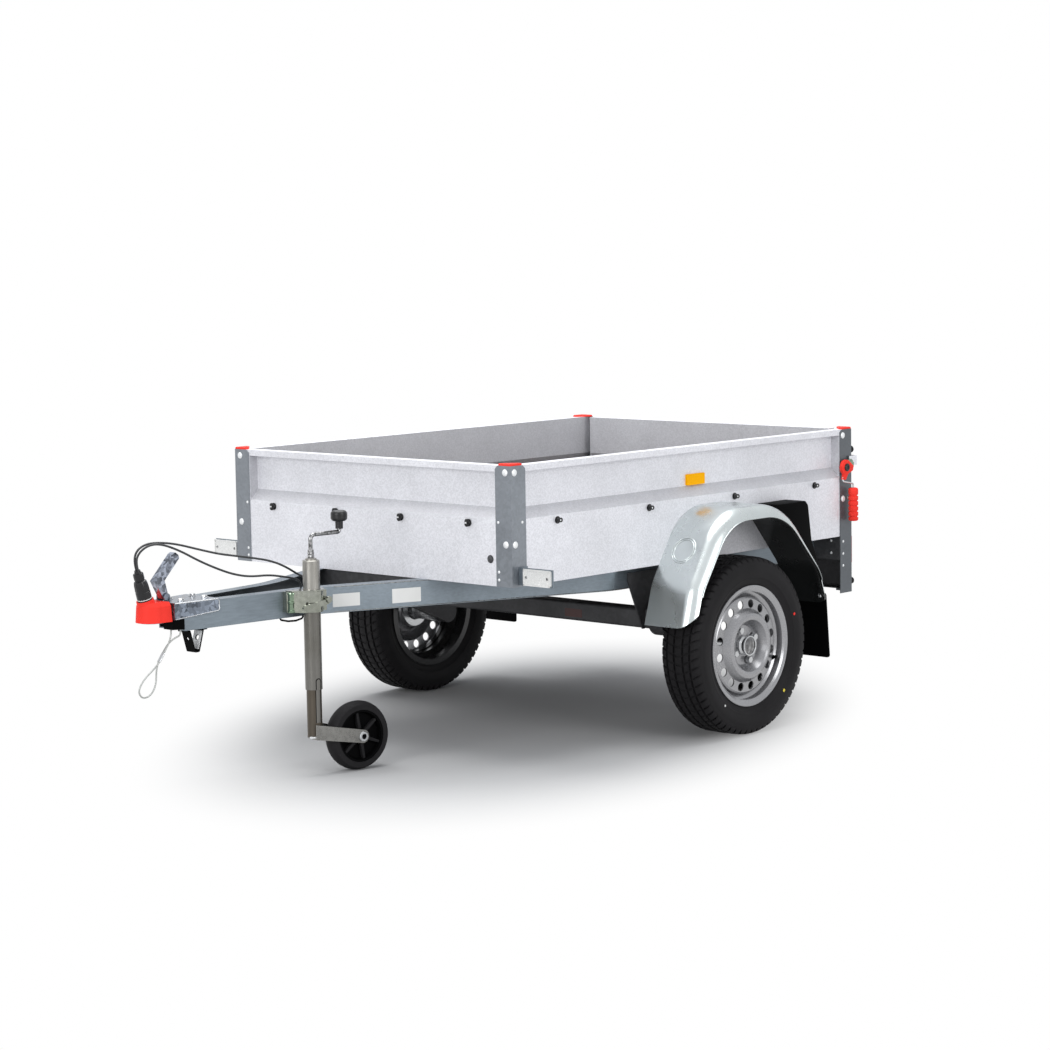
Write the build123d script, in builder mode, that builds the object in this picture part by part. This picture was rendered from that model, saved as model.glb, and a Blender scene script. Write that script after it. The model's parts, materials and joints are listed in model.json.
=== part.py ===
"""Single-axle box trailer with a V drawbar, a jockey wheel and a drop-down tailgate.

+X points to the coupling, +Y to the trailer's left, +Z up.  The origin lies on the
ground under the middle of the whole trailer.  Lengths are in millimetres.
"""
from build123d import *
from math import atan2, cos, degrees, hypot, radians, sin, tan
import os

os.makedirs("parts", exist_ok=True)

# ------------------------------------------------------------------ driving sizes
BODY_LENGTH = 1596.0        # over the corner posts
BODY_WIDTH = 1134.0
NOSE_REACH = 866.0          # front posts to the tip of the coupling
AXLE_TO_REAR = 723.0        # wheel centre to the rear posts
BUFFER_DEPTH = 45.0         # rear rubber buffers, the rearmost points

# wheels
TYRE_R = 267.0
TYRE_W = 145.0
TRACK = 1318.0
RIM_FLANGE_R = 181.0
BEAD_R = 165.0
RIM_HALF_W = 62.0
WELL_R = 148.0
RIM_T = 3.0
VENT_COUNT = 16
VENT_PITCH_R = 125.0
VENT_R = 13.0
WHEEL_PCD = 100.0
WHEEL_BOLTS = 4
BOLT_SHANK_R = 6.0
HUB_BORE_R = 17.5
HUB_OFFSET = 30.0           # mounting face outboard of the wheel's mid plane
FIT = 0.3                   # clearance of shafts in bores and of parts on their seats
RUN = 5.0                   # clearance round parts that swing

# axle
TUBE = 58.0
TUBE_T = 5.0
TUBE_AHEAD = 160.0          # tube centre ahead of the wheel centre
TUBE_RISE = 82.0            # tube centre above the wheel centre
TUBE_TO_FRAME = 98.0        # tube centre to the underside of the frame
ARM_BOSS_R = 49.0
ARM_BOSS_W = 53.0
ARM_TO_TYRE = 36.5          # arm boss to the tyre's inner side
TUBE_HALF = TRACK / 2 - TYRE_W / 2 - ARM_TO_TYRE - ARM_BOSS_W
ARM_HUB_R = 34.0
BRACKET_T = 5.0
BRACKET_TOP_W = 208.0
BRACKET_LAP = 46.0          # height of the bracket against the frame

# frame and drawbar
FRAME_H = 75.0
FRAME_T = 3.0
FRAME_FLANGE = 40.0
FRAME_HALF = 465.0          # outer face of the long members under the box
NECK_HALF = 53.0            # outer face of the drawbar at the coupling
KNEE_HALF = 100.0
DRAWBAR_SETBACK = 114.0     # nose to the front end of the drawbar
KNEE_REACH = 327.0          # knee ahead of the front posts
SPREAD_SETBACK = 548.0      # rear bend behind the front posts
KNEE_BEND_R = 400.0
SPREAD_BEND_R = 240.0

# box
WALL_H = 339.0
SKIN = 2.5
RECESS = 31.0               # depth of the pressed-in upper panel
ROLL_H = 18.0               # top roll
BAND_LOW = 188.0            # sloped band, from the wall's foot
BAND_HIGH = 218.0
SILL = 40.0                 # flange at the wall's foot that carries the floor
FLOOR_T = 12.0
POST_LEG = 60.0
POST_T = 2.5
REAR_POST_DROP = 182.0      # rear posts below the box
POST_CHAMFER = 10.0
CAP_T = 6.0
CAP_LEG = 47.0
GATE_LIFT = 5.0             # gap under the tailgate

# tailgate hinge
HINGE_OUT = 27.0            # hinge axis behind the rear posts
HINGE_UP = 8.0              # above the underside of the box
HINGE_Y = (-285.0, 0.0, 285.0)
HINGE_PIN_R = 5.0
HINGE_EYE_R = 10.0
HINGE_EYE_W = 28.0
HINGE_EAR_W = 12.0

# latches
LATCH_BACK = 50.0           # pivot ahead of the rear posts' rear face
LATCH_UP = 220.0            # pivot above the underside of the box
CAM_R = 24.0
CAM_T = 11.0
GRIP_R = 16.0
GRIP_L = 106.0
WIRE_R = 3.0
CATCH_T = 2.5
CATCH_H = 30.0

# mudguards
GUARD_T = 4.0
GUARD_OUT = 741.0
GUARD_TOP = 684.0
GUARD_END_Z = 352.0
GUARD_MID_Z = 470.0
GUARD_FRONT = (130.0, 268.0, 304.0)     # ahead of the wheel: top corner, bend, end
GUARD_REAR = (158.0, 345.0, 386.0)      # behind the wheel
GUARD_BENDS = (150.0, 185.0, 230.0, 150.0)
GUARD_SKIRT = 27.0           # depth of the rolled edge round the sides
GUARD_BROW = 37.0            # and over the top
GUARD_EDGE_R = 44.0
GUARD_CORNER_R = 58.0
FLAP_T = 5.0
FLAP_BOTTOM = 183.0
FLAP_OUT = 711.0            # outer edge at its top; it widens downwards
FLAP_FLARE = 13.0

# coupling
HEAD_R = 36.0
BALL_R = 25.3
HEAD_SETBACK = 45.0         # nose to the ball's centre
CAP_REAR = 80.0             # nose to the rear of the rubber cap
CAP_HALF = 45.0
CAP_H = 54.0
PLATE_T = 4.0
PLATE_H = 42.0
PLATE_RISE = 12.0           # how far the plates' lower edge rises to the rear
PLATE_REAR = 227.0          # nose to the rear of the coupling's side plates

# jockey wheel
JOCKEY_REACH = 362.0        # tube axis ahead of the front posts
JOCKEY_Y = 141.0
JOCKEY_TUBE_R = 24.0
JOCKEY_TUBE_T = 2.5
JOCKEY_FOOT = 202.0         # outer tube's foot below the frame
JOCKEY_HEAD = 86.0          # outer tube's head above the frame's top
JOCKEY_INNER_R = 21.2
JOCKEY_TRAIL = 140.0
JOCKEY_YAW = -10.4
JOCKEY_R = 98.0
JOCKEY_W = 50.0
JOCKEY_AXLE_R = 6.0
FORK_T = 4.0
CRANK_R = 6.0
CRANK_THROW = 102.0
CRANK_YAW = 174.0
CRANK_NUT_R = 8.5
KNOB_R = 23.5
KNOB_H = 30.0
KNOB_NECK_R = 11.0
KNOB_NECK_H = 21.0
ARM_H = 42.0                # jockey fork's arms
ARM_RISE = 29.0             # arms' middle at the tube above the wheel's centre

# lamps and plates
LAMP_W = 220.0
LAMP_H = 96.0
LAMP_D = 43.0
LAMP_OUT = 540.0

# -------------------------------------------------------------- derived positions
TOTAL = BUFFER_DEPTH + BODY_LENGTH + NOSE_REACH
NOSE_X = TOTAL / 2
X_REAR = -TOTAL / 2 + BUFFER_DEPTH
X_FRONT = X_REAR + BODY_LENGTH
AXLE_X = X_REAR + AXLE_TO_REAR
HALF_W = BODY_WIDTH / 2
WHEEL_Y = TRACK / 2
AXLE_Z = TYRE_R
TUBE_X = AXLE_X + TUBE_AHEAD
TUBE_Z = AXLE_Z + TUBE_RISE
FRAME_Z0 = TUBE_Z + TUBE_TO_FRAME
FRAME_Z1 = FRAME_Z0 + FRAME_H
BOX_Z0 = FRAME_Z1
BOX_Z1 = BOX_Z0 + WALL_H
FLOOR_Z0 = BOX_Z0 + SKIN
FLOOR_Z1 = FLOOR_Z0 + FLOOR_T
WALL_Y = HALF_W - POST_T            # outer plane of the side walls
WALL_X = X_FRONT - POST_T           # outer plane of the front wall
WALL_DEPTH = RECESS + SKIN
BAND_ANGLE = degrees(atan2(RECESS, BAND_HIGH - BAND_LOW))
GATE_X = X_REAR + 1.0               # outer plane of the tailgate
GATE_HALF = HALF_W - POST_LEG - RUN
HINGE_X = X_REAR - HINGE_OUT
HINGE_Z = BOX_Z0 + HINGE_UP
LATCH_X = X_REAR + LATCH_BACK
LATCH_Z = BOX_Z0 + LATCH_UP
HEAD_X = NOSE_X - HEAD_SETBACK
JOCKEY_X = X_FRONT + JOCKEY_REACH
CROSS_D = 60.0                      # depth of the rear crossmember along X

# outer face of the left drawbar arm, from the coupling back to the rear crossmember
ARM_PATH = (
    (NOSE_X - DRAWBAR_SETBACK, NECK_HALF),
    (X_FRONT + KNEE_REACH, KNEE_HALF),
    (X_FRONT - SPREAD_SETBACK, FRAME_HALF),
    (X_REAR + CROSS_D + POST_T, FRAME_HALF),
)


# ------------------------------------------------------------------------ helpers
def keep(builder, label):
    """Label a finished sub-part and write it as its own STEP file."""
    builder.part.label = label
    export_step(builder.part, f"parts/{label}.step")


def keep_mirrored(builder, label):
    """Write the other side's twin of a sub-part."""
    with BuildPart() as twin:
        add(mirror(builder.part, about=Plane.XZ))
    keep(twin, label)


def both_sides(builder):
    """Return a builder that holds a sub-part and its mirror image across the middle."""
    with BuildPart() as pair:
        add(builder.part)
        add(mirror(builder.part, about=Plane.XZ))
    return pair


def arm_y(x):
    """Outer face of the left drawbar arm at the station x."""
    for (xa, ya), (xb, yb) in zip(ARM_PATH, ARM_PATH[1:]):
        if x >= xb:
            return ya + (yb - ya) * (x - xa) / (xb - xa)
    return FRAME_HALF


def offset_path(path, inward):
    """Shift an open path towards the middle of the trailer, with mitred corners."""
    normals = []
    for (xa, ya), (xb, yb) in zip(path, path[1:]):
        run = hypot(xb - xa, yb - ya)
        normals.append((-(yb - ya) / run, (xb - xa) / run))
    corners = [normals[0]] + list(zip(normals, normals[1:])) + [normals[-1]]
    shifted = []
    for (x, y), corner in zip(path, corners):
        if isinstance(corner[0], tuple):
            (ax, ay), (bx, by) = corner
            scale = 1 / (1 + ax * bx + ay * by)
            corner = ((ax + bx) * scale, (ay + by) * scale)
        shifted.append((x + corner[0] * inward, y + corner[1] * inward))
    return shifted


def arm_strip(inner, outer=0.0):
    """Plan of the drawbar arm between two depths from its outer face."""
    with BuildLine() as outline:
        near = FilletPolyline(
            *offset_path(ARM_PATH, outer), radius=[KNEE_BEND_R + outer, SPREAD_BEND_R - outer]
        )
        far = FilletPolyline(
            *offset_path(ARM_PATH, inner), radius=[KNEE_BEND_R + inner, SPREAD_BEND_R - inner]
        )
        Line(near @ 0, far @ 0)
        Line(near @ 1, far @ 1)
    make_face(outline.edges())


def wall_section(foot, top):
    """Outline of a pressed wall as (depth from its outer plane, height) points."""
    ease = SKIN * tan(radians(BAND_ANGLE) / 2)
    low = BOX_Z0 + BAND_LOW
    high = BOX_Z0 + BAND_HIGH
    return [
        (0, foot),
        (0, low),
        (RECESS, high),
        (RECESS, top - ROLL_H),
        (0, top - ROLL_H),
        (0, top),
        (WALL_DEPTH, top),
        (WALL_DEPTH, high - ease),
        (SKIN, low - ease),
        (SKIN, foot + SKIN),
        (SILL, foot + SKIN),
        (SILL, foot),
    ]


def recess_section(top):
    """Outline of the hollow in front of a wall's pressed-in panel."""
    return [
        (0, BOX_Z0 + BAND_LOW),
        (RECESS, BOX_Z0 + BAND_HIGH),
        (RECESS, top - ROLL_H),
        (0, top - ROLL_H),
    ]


def cord_radii(points, least):
    """Arc radius for each corner of a cord's route, as large as its runs allow."""
    route = [Vector(*p) for p in points]
    radii = []
    for before, corner, after in zip(route, route[1:], route[2:]):
        arrive = corner - before
        leave = after - corner
        turn = radians(arrive.get_angle(leave))
        radii.append(0.45 * min(arrive.length, leave.length) / tan(turn / 2))
    print("cord radii", [round(r) for r in radii], "least allowed", round(least))
    return radii


def cord(points, radius):
    """Tube along a cord's route: straight runs joined by tangent arcs."""
    with BuildPart() as tube:
        with BuildLine() as route:
            FilletPolyline(*points, radius=cord_radii(points, 10 * radius))
        with BuildSketch(Plane(origin=route.line @ 0, z_dir=route.line % 0)):
            Circle(radius)
        sweep()
    length = sum(edge.length for edge in route.edges())
    print("cord length", round(length), "volume over section times length",
          round(tube.part.volume / (3.14159265 * radius**2 * length), 4))
    return tube


# ------------------------------------------------------------------ frame, drawbar
ARM_LAYERS = (
    # bottom, top, depth from the outer face
    (FRAME_Z0, FRAME_Z0 + FRAME_T, FRAME_FLANGE),
    (FRAME_Z0, FRAME_Z1, FRAME_T),
    (FRAME_Z1 - FRAME_T, FRAME_Z1, FRAME_FLANGE),
)

with BuildPart() as drawbar_left:
    for z_low, z_high, depth in ARM_LAYERS:
        with BuildSketch(Plane.XY.offset(z_low)):
            arm_strip(depth)
        extrude(amount=z_high - z_low)
keep(drawbar_left, "drawbar_left")
keep_mirrored(drawbar_left, "drawbar_right")

# cross-beams between the long members: station of the rear face, width along X
BEAM_H = 48.0
BEAMS = (
    (X_FRONT - 62.0, 50.0),
    (TUBE_X + 40.0, 50.0),
    (AXLE_X - 330.0, 50.0),
)
with BuildPart() as crossmembers:
    for x_beam, width in BEAMS:
        ends = [(x, arm_y(x) - FRAME_T / cos(radians(25)) - FIT) for x in (x_beam, x_beam + width)]
        plan = ends + [(x, -y) for x, y in reversed(ends)]
        with BuildSketch(Plane.XY.offset(FRAME_Z1 - FRAME_T - BEAM_H)):
            with BuildLine():
                Polyline(*plan, close=True)
            make_face()
        extrude(amount=BEAM_H)
        with BuildSketch(Plane.XZ.offset(-FRAME_HALF)):
            with Locations((x_beam + width / 2, FRAME_Z1 - FRAME_T - BEAM_H / 2 - FRAME_T)):
                Rectangle(width - 2 * FRAME_T, BEAM_H)
        extrude(amount=2 * FRAME_HALF, mode=Mode.SUBTRACT)
keep(crossmembers, "crossmembers")

# rear crossmember: a folded sheet that carries the lamps and the tailgate's hinges
CROSS_Z0 = BOX_Z0 - REAR_POST_DROP + 11.0
CROSS_LIP = 30.0
CROSS_HALF = HALF_W - POST_T - FIT
with BuildPart() as rear_crossmember:
    x_back = X_REAR + POST_T
    x_fore = x_back + CROSS_D
    with BuildSketch(Plane.XZ.offset(-CROSS_HALF)):
        with BuildLine():
            Polyline(
                (x_back, CROSS_Z0),
                (x_back, BOX_Z0),
                (x_fore, BOX_Z0),
                (x_fore, FRAME_Z0),
                (x_fore - FRAME_T, FRAME_Z0),
                (x_fore - FRAME_T, BOX_Z0 - FRAME_T),
                (x_back + FRAME_T, BOX_Z0 - FRAME_T),
                (x_back + FRAME_T, CROSS_Z0 + FRAME_T),
                (x_back + CROSS_LIP, CROSS_Z0 + FRAME_T),
                (x_back + CROSS_LIP, CROSS_Z0),
                close=True,
            )
        make_face()
    extrude(amount=2 * CROSS_HALF)
    ear_off = HINGE_EYE_W / 2 + 1.0
    for y_hinge in HINGE_Y:
        for y_start in (y_hinge - ear_off - HINGE_EAR_W, y_hinge + ear_off):
            with BuildSketch(Plane.XZ.offset(-y_start)):
                with Locations((HINGE_X, HINGE_Z)):
                    Circle(HINGE_EYE_R)
                with BuildLine():
                    Polyline(
                        (HINGE_X - HINGE_EYE_R + 2, HINGE_Z - 3),
                        (HINGE_X + HINGE_EYE_R - 1, HINGE_Z - 3),
                        (x_back, BOX_Z0 - 4),
                        (x_back, BOX_Z0 - 24),
                        (HINGE_X + 2, BOX_Z0 - 14),
                        close=True,
                    )
                make_face()
            extrude(amount=-HINGE_EAR_W)
        with BuildSketch(Plane.XZ.offset(-(y_hinge - ear_off))):
            with Locations((HINGE_X, HINGE_Z)):
                Circle(HINGE_PIN_R)
        extrude(amount=-2 * ear_off)
keep(rear_crossmember, "rear_crossmember")

# ----------------------------------------------------------------------------- box
FLOOR_REAR = X_REAR + WALL_DEPTH + RUN + 2.0
with BuildPart() as floor_board:
    with BuildSketch(Plane.XY.offset(FLOOR_Z0)):
        x_floor = (FLOOR_REAR, WALL_X - SKIN - FIT)
        with Locations(((x_floor[0] + x_floor[1]) / 2, 0)):
            Rectangle(x_floor[1] - x_floor[0], 2 * (WALL_Y - SKIN - FIT))
    extrude(amount=FLOOR_T)
keep(floor_board, "floor_board")

SIDE_REAR = X_REAR + POST_T
END_T = 2.0
with BuildPart() as side_wall:
    with BuildSketch(Plane.YZ.offset(SIDE_REAR)):
        with BuildLine():
            Polyline(*[(WALL_Y - d, z) for d, z in wall_section(BOX_Z0, BOX_Z1)], close=True)
        make_face()
    extrude(amount=WALL_X - SIDE_REAR)
    split(bisect_by=Plane(origin=(WALL_X, WALL_Y, 0), x_dir=(0, 0, 1), z_dir=(-1, 1, 0)),
          keep=Keep.TOP)
    for x_plate in (X_REAR + POST_LEG, X_FRONT - POST_LEG - END_T):
        with BuildSketch(Plane.YZ.offset(x_plate)):
            with BuildLine():
                Polyline(*[(WALL_Y - d, z) for d, z in recess_section(BOX_Z1)], close=True)
            make_face()
        extrude(amount=END_T)
keep(side_wall, "side_wall_left")
keep_mirrored(side_wall, "side_wall_right")

with BuildPart() as front_wall:
    with BuildSketch(Plane.XZ.offset(-WALL_Y)):
        with BuildLine():
            Polyline(*[(WALL_X - d, z) for d, z in wall_section(BOX_Z0, BOX_Z1)], close=True)
        make_face()
    extrude(amount=2 * WALL_Y)
    for side in (1, -1):
        split(bisect_by=Plane(origin=(WALL_X, side * WALL_Y, 0), x_dir=(0, 0, 1),
                              z_dir=(1, -side, 0)), keep=Keep.TOP)
    for y_plate in (POST_LEG - HALF_W, HALF_W - POST_LEG - END_T):
        with BuildSketch(Plane.XZ.offset(-y_plate)):
            with BuildLine():
                Polyline(*[(WALL_X - d, z) for d, z in recess_section(BOX_Z1)], close=True)
            make_face()
        extrude(amount=-END_T)
keep(front_wall, "front_wall")


def corner_post(x_face, inward, z_low):
    """Angle post at the left side: x_face is its end face, inward points along the side."""
    with BuildPart() as post:
        with BuildSketch(Plane.XY.offset(z_low)):
            with BuildLine():
                Polyline(
                    (x_face, HALF_W),
                    (x_face + inward * POST_LEG, HALF_W),
                    (x_face + inward * POST_LEG, HALF_W - POST_T),
                    (x_face + inward * POST_T, HALF_W - POST_T),
                    (x_face + inward * POST_T, HALF_W - POST_LEG),
                    (x_face, HALF_W - POST_LEG),
                    close=True,
                )
            make_face()
        extrude(amount=BOX_Z1 - z_low)
        tops = post.edges().group_by(Axis.Z)[-1]
        short = tops.filter_by(lambda e: abs(e.length - POST_T) < 0.01)
        chamfer(short.filter_by(lambda e: (e.center() - Vector(x_face, HALF_W, BOX_Z1)).length
                                > POST_LEG / 2), POST_CHAMFER)
    return post


front_posts = both_sides(corner_post(X_FRONT, -1, BOX_Z0))
keep(front_posts, "front_posts")
rear_posts = both_sides(corner_post(X_REAR, 1, BOX_Z0 - REAR_POST_DROP))
keep(rear_posts, "rear_posts")

with BuildPart() as caps_left:
    for x_face, inward in ((X_FRONT, -1), (X_REAR, 1)):
        with BuildSketch(Plane.XY.offset(BOX_Z1)):
            with BuildLine():
                Polyline(
                    (x_face + inward * 1, HALF_W - 1),
                    (x_face + inward * CAP_LEG, HALF_W - 1),
                    (x_face + inward * CAP_LEG, HALF_W - 14),
                    (x_face + inward * 14, HALF_W - CAP_LEG),
                    (x_face + inward * 1, HALF_W - CAP_LEG),
                    close=True,
                )
            make_face()
        extrude(amount=CAP_T)
    chamfer(caps_left.faces().group_by(Axis.Z)[-1].edges(), 2)
keep(both_sides(caps_left), "post_caps")

# tailgate with its hinge eyes, end plates and catches
GATE_Z0 = BOX_Z0 + GATE_LIFT
CATCH_Y = HALF_W + RUN
with BuildPart() as tailgate:
    with BuildSketch(Plane.XZ.offset(-GATE_HALF)):
        with BuildLine():
            Polyline(*[(GATE_X + d, z) for d, z in wall_section(GATE_Z0, BOX_Z1)[:10]
                       + [(WALL_DEPTH, GATE_Z0 + SKIN), (WALL_DEPTH, GATE_Z0)]], close=True)
        make_face()
    extrude(amount=2 * GATE_HALF)
    for y_plate in (-GATE_HALF, GATE_HALF - END_T):
        with BuildSketch(Plane.XZ.offset(-y_plate)):
            with BuildLine():
                Polyline((GATE_X, GATE_Z0), (GATE_X, BOX_Z1), (GATE_X + WALL_DEPTH, BOX_Z1),
                         (GATE_X + WALL_DEPTH, GATE_Z0), close=True)
            make_face()
        extrude(amount=-END_T)
    for y_hinge in HINGE_Y:
        with BuildSketch(Plane.XZ.offset(-(y_hinge - HINGE_EYE_W / 2))):
            with Locations((HINGE_X, HINGE_Z)):
                Circle(HINGE_EYE_R)
            with BuildLine():
                Polyline((HINGE_X, HINGE_Z + HINGE_EYE_R), (GATE_X, GATE_Z0 + 40),
                         (GATE_X, GATE_Z0 + 2), (HINGE_X, GATE_Z0 + 2), close=True)
            make_face()
            with Locations((HINGE_X, HINGE_Z)):
                Circle(HINGE_PIN_R + FIT, mode=Mode.SUBTRACT)
        extrude(amount=-HINGE_EYE_W)
    catch_z = LATCH_Z + 18
    for side in (1, -1):
        with BuildSketch(Plane.XY.offset(catch_z - CATCH_H / 2)):
            with BuildLine():
                x_strap = X_REAR - RUN
                Polyline(
                    (GATE_X + 12, side * (GATE_HALF - 18)),
                    (x_strap - CATCH_T, side * (GATE_HALF - 18)),
                    (x_strap - CATCH_T - 12, side * (CATCH_Y - 14)),
                    (x_strap - CATCH_T - 12, side * (CATCH_Y + CATCH_T)),
                    (X_REAR + 20, side * (CATCH_Y + CATCH_T)),
                    (X_REAR + 20, side * CATCH_Y),
                    (x_strap - 12, side * CATCH_Y),
                    (x_strap - 12, side * (CATCH_Y - 12)),
                    (x_strap, side * (GATE_HALF + 8)),
                    (x_strap, side * GATE_HALF),
                    (GATE_X + 12, side * GATE_HALF),
                    close=True,
                )
            make_face()
        extrude(amount=CATCH_H)
keep(tailgate, "tailgate")

# ---------------------------------------------------------------- axle and brackets
with BuildPart() as axle_tube:
    with BuildSketch(Plane.XZ.offset(-TUBE_HALF)):
        with Locations((TUBE_X, TUBE_Z)):
            RectangleRounded(TUBE, TUBE, 8)
            RectangleRounded(TUBE - 2 * TUBE_T, TUBE - 2 * TUBE_T, 3, mode=Mode.SUBTRACT)
    extrude(amount=2 * TUBE_HALF)
keep(axle_tube, "axle_tube")

with BuildPart() as bracket_left:
    with BuildSketch(Plane.XZ.offset(-(FRAME_HALF + FIT))):
        with BuildLine():
            half_top = BRACKET_TOP_W / 2
            half_foot = TUBE / 2 + 10
            Polyline(
                (TUBE_X - half_top, FRAME_Z0 + BRACKET_LAP),
                (TUBE_X + half_top, FRAME_Z0 + BRACKET_LAP),
                (TUBE_X + half_top, FRAME_Z0 + BRACKET_LAP / 2),
                (TUBE_X + half_foot, TUBE_Z - TUBE / 2),
                (TUBE_X - half_foot, TUBE_Z - TUBE / 2),
                (TUBE_X - half_top, FRAME_Z0 + BRACKET_LAP / 2),
                close=True,
            )
        make_face()
        with Locations((TUBE_X, TUBE_Z)):
            Rectangle(TUBE, TUBE, mode=Mode.SUBTRACT)
    extrude(amount=-BRACKET_T)
keep(both_sides(bracket_left), "axle_brackets")

HUB_IN = WHEEL_Y - 99.0
STUB_TIP = WHEEL_Y + 40.0
with BuildPart() as arm_left:
    with BuildSketch(Plane.XZ.offset(-(TUBE_HALF + FIT))):
        with Locations((TUBE_X, TUBE_Z)):
            Circle(ARM_BOSS_R)
    extrude(amount=-ARM_BOSS_W)
    with BuildSketch(Plane.XZ.offset(-(TUBE_HALF + FIT + ARM_BOSS_W - 28))):
        with BuildLine():
            lean = atan2(TUBE_RISE, TUBE_AHEAD)
            up = (-sin(lean), cos(lean))
            big = ARM_BOSS_R - 6
            small = ARM_HUB_R - 2
            Polyline(
                (TUBE_X + big * up[0], TUBE_Z + big * up[1]),
                (AXLE_X + small * up[0], AXLE_Z + small * up[1]),
                (AXLE_X - small * up[0], AXLE_Z - small * up[1]),
                (TUBE_X - big * up[0], TUBE_Z - big * up[1]),
                close=True,
            )
        make_face()
        with Locations((AXLE_X, AXLE_Z)):
            Circle(ARM_HUB_R)
    extrude(amount=-28)
    with BuildSketch(Plane.XZ.offset(-(TUBE_HALF + FIT + ARM_BOSS_W))):
        with Locations((AXLE_X, AXLE_Z)):
            Circle(HUB_BORE_R)
    extrude(amount=-(STUB_TIP - TUBE_HALF - FIT - ARM_BOSS_W))
keep(both_sides(arm_left), "swing_arms")

# --------------------------------------------------------------------- road wheels
WHEEL_PLANE = Plane(origin=(AXLE_X, WHEEL_Y, AXLE_Z), x_dir=(0, 1, 0), z_dir=(1, 0, 0))
WHEEL_AXIS = Axis((AXLE_X, WHEEL_Y, AXLE_Z), (0, 1, 0))
BEAD_HALF = RIM_HALF_W - 5.0
SHOULDER_R = TYRE_R - 9.0
BULGE_R = (TYRE_R + RIM_FLANGE_R) / 2 - 8.0
TREAD_HALF = TYRE_W / 2 - 10.0

with BuildPart() as tyre:
    with BuildSketch(WHEEL_PLANE):
        with BuildLine():
            for side in (1, -1):
                Polyline(
                    (0, BEAD_R + FIT),
                    (side * (BEAD_HALF - FIT), BEAD_R + FIT + 1),
                    (side * (BEAD_HALF - FIT), RIM_FLANGE_R + 1),
                )
                ThreePointArc(
                    (side * (BEAD_HALF - FIT), RIM_FLANGE_R + 1),
                    (side * TYRE_W / 2, BULGE_R),
                    (side * (TREAD_HALF + 4), SHOULDER_R),
                )
                Polyline(
                    (side * (TREAD_HALF + 4), SHOULDER_R),
                    (side * (TREAD_HALF - 6), TYRE_R - 3),
                    (side * TREAD_HALF * 0.45, TYRE_R),
                    (0, TYRE_R),
                )
        make_face()
    revolve(axis=WHEEL_AXIS)
keep(tyre, "tyre_left")
keep_mirrored(tyre, "tyre_right")

WELL_IN = WELL_R - RIM_T
FLAT_R0 = VENT_PITCH_R - VENT_R - 2
DISC_T = 3.5
with BuildPart() as rim:
    with BuildSketch(WHEEL_PLANE):
        with BuildLine():
            Polyline(
                (-RIM_HALF_W, RIM_FLANGE_R),
                (-BEAD_HALF, RIM_FLANGE_R),
                (-BEAD_HALF, BEAD_R),
                (-18, BEAD_R - 1),
                (-8, WELL_R),
                (24, WELL_R),
                (34, BEAD_R - 1),
                (BEAD_HALF, BEAD_R),
                (BEAD_HALF, RIM_FLANGE_R),
                (RIM_HALF_W, RIM_FLANGE_R),
                (RIM_HALF_W + 1, RIM_FLANGE_R - 2.5),
                (RIM_HALF_W - 0.5, RIM_FLANGE_R - 6),
                (BEAD_HALF + 2.8, BEAD_R + 4),
                (BEAD_HALF - 2, BEAD_R - RIM_T),
                (36, BEAD_R - 1 - RIM_T),
                (26, WELL_IN),
                (-10, WELL_IN),
                (-20, BEAD_R - 1 - RIM_T),
                (-RIM_HALF_W, BEAD_R - RIM_T),
                close=True,
            )
        make_face()
        with BuildLine():
            crest = HUB_OFFSET + 35
            Polyline(
                (10, WELL_IN + 0.5),
                (10, WELL_IN - DISC_T),
                (HUB_OFFSET + 4, WELL_IN - DISC_T),
                (HUB_OFFSET + 7, VENT_PITCH_R + VENT_R + 1.5),
                (HUB_OFFSET + 10.5, FLAT_R0),
                (HUB_OFFSET + 21, 101),
                (crest - DISC_T - 4.5, 95),
                (crest - DISC_T, 88),
                (crest - DISC_T - 2, 81),
                (HUB_OFFSET + 20 - DISC_T, 74),
                (HUB_OFFSET + 4 - DISC_T, 65),
                (HUB_OFFSET - DISC_T, 60),
                (HUB_OFFSET - DISC_T, 30),
                (HUB_OFFSET, 30),
                (HUB_OFFSET, 59),
                (HUB_OFFSET + 5, 63.5),
                (HUB_OFFSET + 21, 72),
                (crest - 3, 78),
                (crest, 84),
                (crest + 0.5, 89),
                (crest - 2.5, 97),
                (HUB_OFFSET + 24, 104),
                (HUB_OFFSET + 10.5 + DISC_T, FLAT_R0 + 1),
                (HUB_OFFSET + 8 + DISC_T, VENT_PITCH_R + VENT_R + 2),
                (HUB_OFFSET + 5 + DISC_T, WELL_IN),
                (25, WELL_IN),
                (25, WELL_IN + 0.5),
                close=True,
            )
        make_face()
    revolve(axis=WHEEL_AXIS)
    face_plane = Plane(origin=(AXLE_X, WHEEL_Y, AXLE_Z), x_dir=(1, 0, 0), z_dir=(0, 1, 0))
    with BuildSketch(face_plane):
        with PolarLocations(VENT_PITCH_R, VENT_COUNT, start_angle=10.7):
            Circle(VENT_R)
        with PolarLocations(WHEEL_PCD / 2, WHEEL_BOLTS, start_angle=-66):
            Circle(BOLT_SHANK_R + 0.5)
    extrude(amount=RIM_HALF_W, mode=Mode.SUBTRACT)
keep(rim, "rim_left")
keep_mirrored(rim, "rim_right")

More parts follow.
